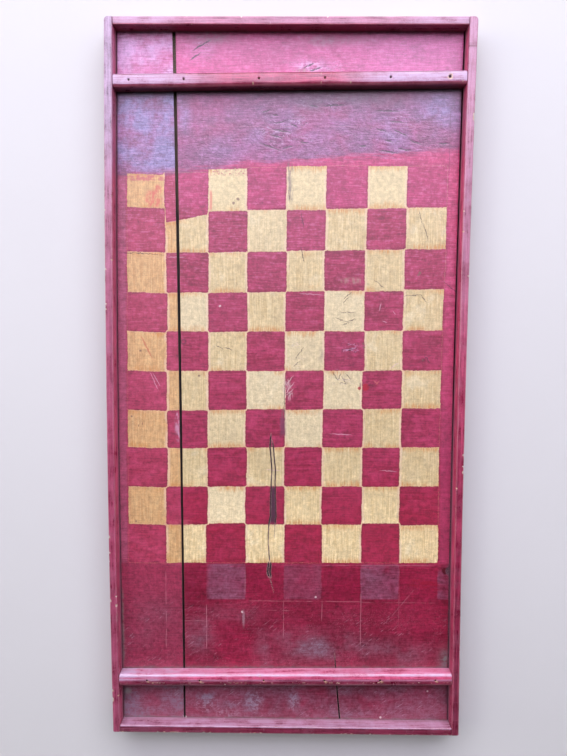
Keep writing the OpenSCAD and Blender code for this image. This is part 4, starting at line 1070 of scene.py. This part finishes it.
def stile(name, m, mat, node):
    y = stations(-HL, HL, 1.25, [(c, 3.2, 0.4) for c in STILE_NAILS] + [(HL - 1.5, 1.5, 0.25)] + [(s * (HL - 3.75), 2.6, 0.4) for s in (-1, 1)])
    ring, near = section(1.0, 1.0, 0.0, 5, 13, 5)
    n, k = len(y), len(ring)
    outer, inner = (right_out(y), right_in(y)) if m > 0 else (left_out(y), left_in(y))
    # plan: the outer corner is rounded at the top end and eased at the bottom end
    d = (y - (HL - 3.0)).clip(0, 3.0)
    outer = outer - m * (3.0 - np.sqrt((9.0 - d ** 2).clip(0)))
    d2 = (-(y + HL) + 1.0).clip(0, 1.0)
    outer = outer - m * (1.0 - np.sqrt((1.0 - d2 ** 2).clip(0)))
    w = np.abs(outer - inner)
    mid = (outer + inner) / 2
    P = np.zeros((n, k, 3))
    arris = np.zeros((n, k))
    chip = np.zeros((n, k))
    for i in range(n):
        end = min(y[i] + HL, HL - y[i])
        inset = 0.45 * max(0.0, 1 - end / 0.6) ** 2
        r = min(0.95, w[i] / 2 - 0.05) if w[i] > 0.6 else 0.2
        pts, near = section(max(w[i], 0.5), RIM - inset * 1.2, r, 5, 13, 5, r_top=min(r * 1.25, w[i] / 2 - 0.02) if w[i] > 0.6 else 0.2)
        P[i, :, 0], P[i, :, 1], P[i, :, 2] = mid[i] + pts[:, 0] * m, y[i], pts[:, 1] + inset * 0.4
        arris[i] = near
    top_in = (P[..., 2] > RIM - 2.2) & (((P[..., 0] - mid[:, None]) * m) < 0)
    top_out = (P[..., 2] > RIM - 2.2) & (((P[..., 0] - mid[:, None]) * m) > 0)
    seed = 50 if m > 0 else 60
    for mask, side, sx in ((top_in, 0, -1), (top_out, 1, 1)):
        c = knocks(y, side, seed, 0.52 if m < 0 else 0.33)
        depth = np.where(mask, c[:, None] * arris, 0)
        P[..., 0] -= depth * 0.55 * sx * m
        P[..., 2] -= depth * 0.75
        chip = np.maximum(chip, np.where(mask, step(depth, 0.10, 0.45), 0))
    # hand-planed faces: slow unevenness inward only
    outx = (P[..., 0] - mid[:, None]) * m
    wav = 0.10 * (0.5 + noise(P[..., 1] / 34, P[..., 2] / 11, seed + 5)).clip(0, 1) + 0.035 * (0.5 + noise(P[..., 1] / 7, P[..., 2] / 2.5, seed + 6)).clip(0, 1)
    P[..., 0] -= np.sign(outx) * m * wav * (np.abs(outx) > w[:, None] / 2 - 0.5)
    P[..., 2] -= (0.12 * (0.5 + noise(P[..., 1] / 40, P[..., 0] / 9, seed + 7)).clip(0, 1)) * (P[..., 2] > RIM - 1.6)
    # dents over the nails
    dent = np.zeros((n, k))
    at = [(c, 6.5) for c in STILE_NAILS] + [(s * (HL - 3.75), z) for s in (-1, 1) for z in CORNER_Z]
    for cy, cz in at:
        rr = np.hypot(P[..., 1] - cy, P[..., 2] - cz)
        hit = np.where(outx > 0, bell(rr, 2.0), 0)
        P[..., 0] -= m * 0.55 * hit
        dent = np.maximum(dent, hit)
    foot = np.where(outx < 0, step(P[..., 2], 17, 13.2) * step(P[..., 2], 9, 12.8), 0)
    seam = np.where(outx < 0, step(P[..., 2], 12.6, 11.5), 0)
    yy = P[..., 1]
    # along each stile a pale lilac film, partly dust and partly painted sheen, grows toward the top end; the paint
    # under it is darkened at the top of the left stile, and the right stile darkens toward its lower end
    if m < 0:
        pale = np.interp(yy, [-343, -270, -150, -50, 60, 160, 230, 343], [0.14, 0.13, 0.10, 0.12, 0.20, 0.26, 0.62, 0.78])
        painted_shading_and_tone = np.interp(yy, [-343, -200, 0, 190, 250, 343], [0.12, 0.05, 0.0, 0.06, 0.80, 0.80])
    else:
        pale = np.interp(yy, [-343, -200, -100, 0, 60, 130, 240, 300, 343], [0.04, 0.0, 0.0, 0.04, 0.14, 0.30, 0.34, 0.46, 0.50])
        painted_shading_and_tone = np.interp(yy, [-343, -280, -150, -60, 40, 120, 343], [0.42, 0.38, 0.16, 0.0, -0.20, 0.0, 0.0])
    # the inner faces get a faint film and painted light that lightens them; the outer faces below the top keep only a
    # fifth of the darkening
    inner_face = step(outx, -w[:, None] / 2 + 0.9, -w[:, None] / 2 + 0.3)
    pale = np.where(P[..., 2] > RIM - 2.0, pale, pale * 0.20 + (0.12 if m < 0 else 0.06) * inner_face)
    painted_shading_and_tone = painted_shading_and_tone * (1 - 0.7 * inner_face) - (0.85 if m < 0 else 0.75) * inner_face * (P[..., 2] < RIM - 1.0)
    painted_shading_and_tone = np.where((outx > 0) & (P[..., 2] < RIM - 2.6), painted_shading_and_tone * 0.2, painted_shading_and_tone)
    # lines scribed across the right stile near its top
    line = np.where((m > 0) & (P[..., 2] > RIM - 1.5), np.maximum(bell(yy - 318.7, 0.6), bell(yy - 317.0, 0.6)), 0.0)
    ob = sweep(name, P, {"arris": arris, "chip": chip, "foot": foot, "seam": seam, "dent": dent * 0.9, "pale": pale, "painted_shading_and_tone": painted_shading_and_tone, "bared": 0.0, "line": line}, segments=4)
    return dress(ob, mat, "painted_rim", node)


def rail(name, m, mat, node):
    gap = 0.22
    yo, yi = m * HL, m * (HL - RAIL)
    a, b = left_in(yo) + gap, right_in(yo) - gap
    a2, b2 = left_in(yi) + gap, right_in(yi) - gap
    a, b = max(a, a2), min(b, b2)
    x = stations(a, b, 1.2, [(c, 3.2, 0.4) for c in RAIL_NAILS])
    n = len(x)
    seed = 70 if m > 0 else 80
    P, arris = [], []
    for i in range(n):
        end = min(x[i] - a, b - x[i])
        inset = 0.35 * max(0.0, 1 - end / 0.6) ** 2
        pts, near = section(RAIL, RIM - inset * 1.2, 0.95, 5, 13, 5, r_top=0.75)
        P.append(np.stack([np.full(len(pts), x[i]), (yo + yi) / 2 + pts[:, 0] * m, pts[:, 1] + inset * 0.4], -1))
        arris.append(near)
    P, arris = np.array(P), np.array(arris)
    side = (P[..., 1] - (yo + yi) / 2) * m
    chip = np.zeros(P.shape[:2])
    for mask, q, sy in (((P[..., 2] > RIM - 2.2) & (side < 0), 0, -1), ((P[..., 2] > RIM - 2.2) & (side > 0), 1, 1)):
        c = knocks(x, q, seed, 0.5 if (m < 0 and sy > 0) else 0.22)
        depth = np.where(mask, c[:, None] * arris, 0)
        P[..., 1] -= depth * 0.55 * sy * m
        P[..., 2] -= depth * 0.75
        chip = np.maximum(chip, np.where(mask, step(depth, 0.10, 0.45), 0))
    wav = 0.10 * (0.5 + noise(P[..., 0] / 34, P[..., 2] / 11, seed + 5)).clip(0, 1) + 0.035 * (0.5 + noise(P[..., 0] / 7, P[..., 2] / 2.5, seed + 6)).clip(0, 1)
    P[..., 1] -= np.sign(side) * m * wav * (np.abs(side) > RAIL / 2 - 0.5)
    P[..., 2] -= (0.12 * (0.5 + noise(P[..., 0] / 40, P[..., 1] / 9, seed + 7)).clip(0, 1)) * (P[..., 2] > RIM - 1.6)
    dent = np.zeros(P.shape[:2])
    for cx in RAIL_NAILS:
        hit = np.where(side > 0, bell(np.hypot(P[..., 0] - cx, P[..., 2] - 6.5), 2.0), 0)
        P[..., 1] -= m * 0.55 * hit
        dent = np.maximum(dent, hit)
    foot = np.where(side < 0, step(P[..., 2], 17, 13.2) * step(P[..., 2], 9, 12.8), 0)
    seam = np.where(side < 0, step(P[..., 2], 12.6, 11.5), 0)
    end = np.minimum(P[..., 0] - a, b - P[..., 0])
    seam = np.maximum(seam, step(end, 0.35, 0.05))
    ends = step(np.abs(P[..., 0]), 90, 125)
    foot = foot * (0.15 if m > 0 else 1.0)
    flake = noise(P[..., 0] / 3.2, side / 1.6, seed + 9) + 0.5 * noise(P[..., 0] / 24, side * 0, seed + 8)
    chip = np.maximum(chip, step(flake, 0.20, 0.30) * step(side, 2.2, 3.2) * step(P[..., 2], RIM - 4.0, RIM - 1.0) * (0.9 if m < 0 else 0.0))
    # top rail: a pale film on the top and outer faces, partly dust and partly painted sheen, stronger toward the ends,
    # and painted shade on the inner face; bottom rail: a pale dusty film on the inner face, a painted highlight along
    # its upper inner arris, darker paint on the top
    if m > 0:
        pale, painted_shading_and_tone = np.where(side > -2.4, 0.32 + 0.30 * ends, 0.0), np.where(side < -3.2, 0.35, 0.0)
    else:
        pale, painted_shading_and_tone = np.where(side < -3.4, 0.60, 0.95 * bell(side + 3.1, 0.5) + 0.03 + 0.10 * step(P[..., 0], -110, -140)), np.where(side < -3.2, 0.05, 0.42)
    painted_shading_and_tone = np.where((side > 3.2) & (P[..., 2] < RIM - 2.6), painted_shading_and_tone * 0.2, painted_shading_and_tone)
    line = np.where(side < -3.0, step(P[..., 2], 14.6, 13.4) * step(P[..., 2], 12.6, 13.2), 0.0) * (m < 0)
    ob = sweep(name, P, {"arris": arris, "chip": chip, "foot": foot, "seam": seam, "dent": dent * 0.9, "pale": pale, "painted_shading_and_tone": painted_shading_and_tone, "bared": 0.0, "line": line}, segments=3)
    return dress(ob, mat, "painted_rim", node)


def batten(name, m, brads, mat, node):
    gap = 0.12
    y0 = m * BAT_Y
    a, b = left_in(y0) + gap, right_in(y0) - gap
    x = stations(a, b, 1.0, [(c, 3.4, 0.28) for c in brads])
    seed = 90 if m > 0 else 100
    P, arris = [], []
    base, near = section(BAT_W, BAT_H - 0.02, 0.3, 17, 5, 11, r_top=2.9)
    for i in range(len(x)):
        end = min(x[i] - a, b - x[i])
        inset = 0.5 * max(0.0, 1 - end / 0.8) ** 2
        wob = 0.16 * noise(np.array(x[i] / 38), np.array(0.4), seed) + 0.07 * noise(np.array(x[i] / 11), np.array(0.8), seed + 1)
        pts = base.copy()
        t = (np.abs(pts[:, 0]) / (BAT_W / 2)).clip(0, 1)
        pts[:, 1] -= np.where(pts[:, 1] > BAT_H - 3, 0.55 * t ** 2, 0)          # crowned top
        pts[:, 0] *= 1 - inset / BAT_W * 1.2
        pts[:, 1] = np.where(pts[:, 1] > 3, pts[:, 1] - inset, pts[:, 1])
        P.append(np.stack([np.full(len(pts), x[i]), batten_mid(x[i], m) + (pts[:, 0] + wob), pts[:, 1] + PT], -1))
        arris.append(near)
    P, arris = np.array(P), np.array(arris)
    midy = batten_mid(x, m)[:, None]
    side = P[..., 1] - midy
    up = P[..., 2] > PT + BAT_H - 4.2
    chip = np.zeros(P.shape[:2])
    for mask, q, sy in ((up & (side > 1.5), 0, 1), (up & (side < -1.5), 1, -1)):
        c = knocks(x, q, seed, 0.38 if (m < 0 and sy < 0) else 0.22, 0.6)
        band = bell(np.abs(side) - 4.4, 1.3)
        depth = np.where(mask, c[:, None] * band, 0)
        P[..., 1] -= depth * 0.5 * sy
        P[..., 2] -= depth * 0.6
        chip = np.maximum(chip, np.where(mask, step(depth, 0.10, 0.40), 0))
    # tool marks and slow unevenness
    P[..., 2] -= np.where(up, 0.14 * (0.5 + noise(P[..., 0] / 26, side / 6, seed + 4)).clip(0, 1) + 0.05 * (0.5 + noise(P[..., 0] / 60, side / 0.9, seed + 5)).clip(0, 1), 0)
    dent = np.zeros(P.shape[:2])
    rng = np.random.default_rng(seed)
    bared = np.zeros(P.shape[:2])
    for cx in brads:
        cy = batten_mid(cx, m)
        rr = np.hypot(P[..., 0] - cx, P[..., 1] - cy)
        torn = m > 0 and cx > 140
        r0 = 1.35 if torn else rng.uniform(0.95, 1.10)
        hit = np.where(up, 1 - step(rr, r0 * 0.65, r0 * 1.25), 0)
        P[..., 2] -= 1.15 * hit + np.where(up, 0.12 * bell(rr, 2.2), 0)
        dent = np.maximum(dent, hit)
        if torn:
            bared = np.maximum(bared, np.where(up, bell(rr - 2.1, 0.6), 0))
        if m < 0:
            bared = np.maximum(bared, np.where(up, 0.8 * bell(np.hypot(P[..., 0] - cx - 1.6, (P[..., 1] - cy + 1.2) * 1.6), 1.3), 0))
    foot = np.where(P[..., 2] < PT + 4, step(P[..., 2], PT + 2.6, PT + 0.3), 0) * np.where(side < 0, 0.08, 0.6)
    end = np.minimum(P[..., 0] - a, b - P[..., 0])
    seam = np.maximum(step(end, 0.35, 0.05), step(P[..., 2], PT + 0.30, PT + 0.05))
    if m > 0:
        # top batten: the pale film at both ends of its top is painted sheen, with little of it on the lower side;
        # painted shade darkens the lower face, the middle of the top is a little lighter, and a dark line along the
        # upper rounding is painted shade
        pale = np.interp(P[..., 0], [-170, -110, -60, 40, 90, 170], [0.92, 0.70, 0.06, 0.0, 0.90, 1.0])
        pale = np.where(side < -4.0, pale * 0.10, pale)
        painted_shading_and_tone = 0.12 * step(side, -3.5, -5.0) + 0.45 * step(side, -4.8, -5.9) * step(P[..., 2], PT + 10.0, PT + 6.0) - 0.22 * step(P[..., 0], -105, -60) * step(P[..., 0], 85, 45) * step(side, -4.2, -3.2)
        line = 0.75 * bell(side - 4.9, 0.55)
    else:
        # bottom batten: a pale dusty film, heavier at the left end and on the upper side, little on the lower side;
        # painted highlights along its crest and its upper arris; painted shade darkens the lower half and painted light
        # lightens the upper half
        pale = np.interp(P[..., 0], [-170, -125, -90, 170], [0.75, 0.45, 0.20, 0.14])
        pale = np.where(side > 3.6, pale + 0.34, np.where(side > 0.5, pale, pale * 0.08))
        pale = pale + 0.42 * bell(side - 0.2, 0.9) + 0.45 * bell(side - 5.0, 0.55)
        painted_shading_and_tone = 0.42 * step(side, 1.0, -3.4) - 1.10 * step(side, 0.4, 1.6)
        flake = noise(P[..., 0] / 2.6, side / 0.9, seed + 9) + 0.5 * noise(P[..., 0] / 20, side * 0, seed + 8)
        chip = np.maximum(chip, step(flake, 0.26, 0.36) * bell(side + 2.3, 0.9) * up * 0.85)
        line = 0.0
    ob = sweep(name, P, {"arris": arris * 0.75, "chip": chip, "foot": foot, "seam": seam, "dent": dent, "pale": pale, "painted_shading_and_tone": painted_shading_and_tone, "bared": bared, "line": line}, segments=4, sharp=50)
    return dress(ob, mat, "painted_rim", node)


# ------------------------------------------------------------------ nails
def nail_profile(kind):
    """Radius and depth below the head's top."""
    if kind == "brad":
        depth = PT + BAT_H - 0.6 - 1.8
        return [(0.0, 0.10), (0.35, 0.06), (0.60, 0.10), (0.74, 0.28), (0.75, 0.8), (0.62, 1.1), (0.60, 8.0), (0.60, depth - 2.0), (0.16, depth - 0.1)]
    return [(0.0, 0.0), (0.8, 0.02), (1.35, 0.10), (1.66, 0.28), (1.68, 0.62), (1.50, 0.80), (0.85, 0.92), (0.80, 2.0), (0.80, 15.0), (0.80, 27.5), (0.16, 29.9)]


def nails(name, kind, heads, mat, node):
    """One mesh of separate nails. heads: (position of the head's top, direction into the wood)."""
    import bmesh
    bm = bmesh.new()
    rng = np.random.default_rng(sum(ord(ch) for ch in name))
    around = 20
    for pos, into in heads:
        pos, into = np.array(pos, float), np.array(into, float)
        side = np.cross(into, [0.3, 0.5, 0.81])
        side /= np.linalg.norm(side)
        up = np.cross(into, side)
        turn, egg = rng.uniform(0, 6.28), rng.uniform(0.0, 0.05)
        flat = rng.uniform(-0.04, 0.0, around)
        rings = []
        for j, (r, d) in enumerate(nail_profile(kind)):
            if r == 0:
                rings.append([bm.verts.new(tuple((pos + into * (d + 0.02)) * 0.001))])
                continue
            ring = []
            for q in range(around):
                a = 2 * math.pi * q / around
                rr = r * (1 - egg * (0.5 + 0.5 * math.cos(2 * (a - turn)))) * (1 + (flat[q] if j in (2, 3, 4) else 0))
                dd = d + (0.03 * (1 + math.sin(3 * a + turn)) if j in (1, 2) else 0)
                ring.append(bm.verts.new(tuple((pos + into * dd + side * rr * math.cos(a) + up * rr * math.sin(a)) * 0.001)))
            rings.append(ring)
        for q in range(around):
            bm.faces.new((rings[0][0], rings[1][q], rings[1][(q + 1) % around]))
        for j in range(1, len(rings) - 1):
            for q in range(around):
                p = (q + 1) % around
                bm.faces.new((rings[j][q], rings[j + 1][q], rings[j + 1][p], rings[j][p]))
        bm.faces.new(rings[-1][::-1])
    bmesh.ops.recalc_face_normals(bm, faces=bm.faces[:])
    me = bpy.data.meshes.new(name)
    bm.to_mesh(me)
    bm.free()
    me.shade_smooth()
    me.set_sharp_from_angle(angle=math.radians(45))
    ob = bpy.data.objects.new(name, me)
    bpy.context.scene.collection.objects.link(ob)
    return dress(ob, mat, "old_iron", node)


# ------------------------------------------------------------------ build
panel_mat = panel_paint()
rim_y = strip_paint("rim_paint_upright", "Y")
rim_x = strip_paint("rim_paint_crosswise", "X")
bat_mat = strip_paint("batten_paint", "X", batten=True)
rusty = iron("rusted_iron")

narrow_board(panel_mat)
wide_board(panel_mat)
stile("left_stile_wood", -1, rim_y, "left_stile")
stile("right_stile_wood", 1, rim_y, "right_stile")
rail("top_rail_wood", 1, rim_x, "top_rail")
rail("bottom_rail_wood", -1, rim_x, "bottom_rail")
batten("top_batten_wood", 1, TOP_BRADS, bat_mat, "top_batten")
batten("bottom_batten_wood", -1, BOTTOM_BRADS, bat_mat, "bottom_batten")
for tag, m, xs in (("top", 1, TOP_BRADS), ("bottom", -1, BOTTOM_BRADS)):
    nails(f"{tag}_batten_brads_iron", "brad", [((x, batten_mid(x, m), PT + BAT_H - 0.6), (0, 0, -1)) for x in xs], rusty, f"{tag}_batten_brads")
    nails(f"{tag}_rail_nails_iron", "nail", [((x, m * (HL - 0.15), 6.5), (0, -m, 0)) for x in RAIL_NAILS], rusty, f"{tag}_rail_nails")
for tag, m, out in (("left", -1, left_out), ("right", 1, right_out)):
    nails(f"{tag}_stile_nails_iron", "nail", [((out(y) - m * 0.15, y, 6.5), (-m, 0, 0)) for y in STILE_NAILS], rusty, f"{tag}_stile_nails")
    for end, s in (("top", 1), ("bottom", -1)):
        y = s * (HL - 3.75)
        nails(f"{end}_{tag}_corner_nails_iron", "nail", [((out(y) - m * 0.15, y, z), (-m, 0, 0)) for z in CORNER_Z], rusty, f"{end}_{tag}_corner_nails")


# ------------------------------------------------------------------ floor, light, camera
def floor():
    me = bpy.data.meshes.new("floor")
    n, R = 96, 4.2
    radii = [0.0] + [R * (k / 24) ** 1.6 for k in range(1, 25)]
    verts, faces = [(0, 0, -0.0004)], []
    for r in radii[1:]:
        for q in range(n):
            a = 2 * math.pi * q / n
            verts.append((r * math.cos(a), r * math.sin(a), -0.0004))
    for q in range(n):
        faces.append((0, 1 + q, 1 + (q + 1) % n))
    for k in range(len(radii) - 2):
        b, c = 1 + k * n, 1 + (k + 1) * n
        for q in range(n):
            p = (q + 1) % n
            faces.append((b + q, c + q, c + p, b + p))
    me.from_pydata(verts, [], faces)
    me.shade_smooth()
    ob = bpy.data.objects.new("floor", me)
    bpy.context.scene.collection.objects.link(ob)
    g = Graph("pale_floor")
    soft = g.fog(0.004, seed=1, detail=3)
    col = g.mix(soft, (0.585, 0.575, 0.540), (0.620, 0.612, 0.575))
    ob.data.materials.append(g.finish(col, 0.8, g.fog(0.5, seed=2, detail=2) * 0.02, spec=0.2))


def lamp(name, at, aim, size, power, color):
    d = bpy.data.lights.new(name, "AREA")
    d.shape, d.size, d.size_y = "RECTANGLE", size[0], size[1]
    d.energy, d.color = power, color
    ob = bpy.data.objects.new(name, d)
    bpy.context.scene.collection.objects.link(ob)
    from mathutils import Vector
    ob.location = at
    ob.visible_camera = False
    ob.rotation_euler = (Vector(at) - Vector(aim)).to_track_quat("Z", "Y").to_euler()
    return ob


LAMPS = [
    ("near_box_low", (0.0, 1.35, 1.00), (0.0, -0.05, 0.0), (3.2, 0.34), 15.5, (0.80, 0.767, 1.0)),
    ("near_box_mid", (0.0, 1.05, 1.12), (0.0, -0.05, 0.0), (3.2, 0.34), 14.3, (0.80, 0.767, 1.0)),
    ("near_box_high", (0.0, 0.75, 1.20), (0.0, -0.05, 0.0), (3.2, 0.34), 14.5, (0.80, 0.767, 1.0)),
    ("over_box", (0.0, 1.16, 4.46), (0.0, 0.05, 0.0), (6.2, 0.9), 49.0, (0.80, 0.767, 1.0)),
    ("far_box", (0.0, 4.18, 2.02), (0.0, 0.05, 0.0), (6.2, 1.3), 156.0, (0.94, 1.0, 0.99)),
    ("left_box", (-3.7, 0.7, 1.9), (0.0, 0.0, 0.0), (1.8, 3.0), 60.0, (1.0, 0.98, 0.96)),
    ("right_box", (3.7, 0.7, 2.4), (0.0, 0.0, 0.0), (1.8, 3.0), 25.0, (1.0, 0.98, 0.96)),
    ("front_box", (0.0, -4.6, 1.2), (0.0, 0.0, 0.0), (2.4, 0.8), 10.0, (1.0, 0.98, 0.96)),
]
floor()
for row in LAMPS:
    lamp(*row)

scene = bpy.context.scene
world = bpy.data.worlds.new("studio")
scene.world = world
world.use_nodes = True
wn = world.node_tree
wn.nodes["Background"].inputs[0].default_value = (0.90, 0.93, 1.0, 1.0)
wn.nodes["Background"].inputs[1].default_value = 0.015
lit = wn.nodes.new("ShaderNodeBackground")
lit.inputs[0].default_value = (0.80, 0.81, 0.83, 1.0)
lit.inputs[1].default_value = 0.8
path = wn.nodes.new("ShaderNodeLightPath")
both = wn.nodes.new("ShaderNodeMixShader")
wn.links.new(path.outputs["Is Camera Ray"], both.inputs[0])
wn.links.new(wn.nodes["Background"].outputs[0], both.inputs[1])
wn.links.new(lit.outputs[0], both.inputs[2])
wn.links.new(both.outputs[0], wn.nodes["World Output"].inputs[0])

rx, ry, rz = 0.06483695897341882, 0.008605414384904884, 0.005644785987130091
t = np.array([4.5371031872707865, 10.377484468224585, 553.5090142040466])
th = math.sqrt(rx * rx + ry * ry + rz * rz)
k = np.array([rx, ry, rz]) / th
K = np.array([[0, -k[2], k[1]], [k[2], 0, -k[0]], [-k[1], k[0], 0]])
M = (np.eye(3) + math.sin(th) * K + (1 - math.cos(th)) * K @ K) @ np.diag([1.0, -1.0, -1.0])
eye = (-M.T @ t + np.array([DX, 0.0, PT])) * 0.001
cam_data = bpy.data.cameras.new("camera")
cam_data.sensor_fit, cam_data.sensor_width = "AUTO", 36.0
cam_data.lens = 36.0 * 568.0 / 756.0
cam_data.clip_start, cam_data.clip_end = 0.01, 60.0
cam = bpy.data.objects.new("camera", cam_data)
scene.collection.objects.link(cam)
from mathutils import Matrix
right, up, back = M[0], -M[1], -M[2]
cam.matrix_world = Matrix([[right[0], up[0], back[0], eye[0]], [right[1], up[1], back[1], eye[1]],
                           [right[2], up[2], back[2], eye[2]], [0, 0, 0, 1]])
scene.camera = cam
scene.view_settings.view_transform = "Standard"
scene.view_settings.look = "None"
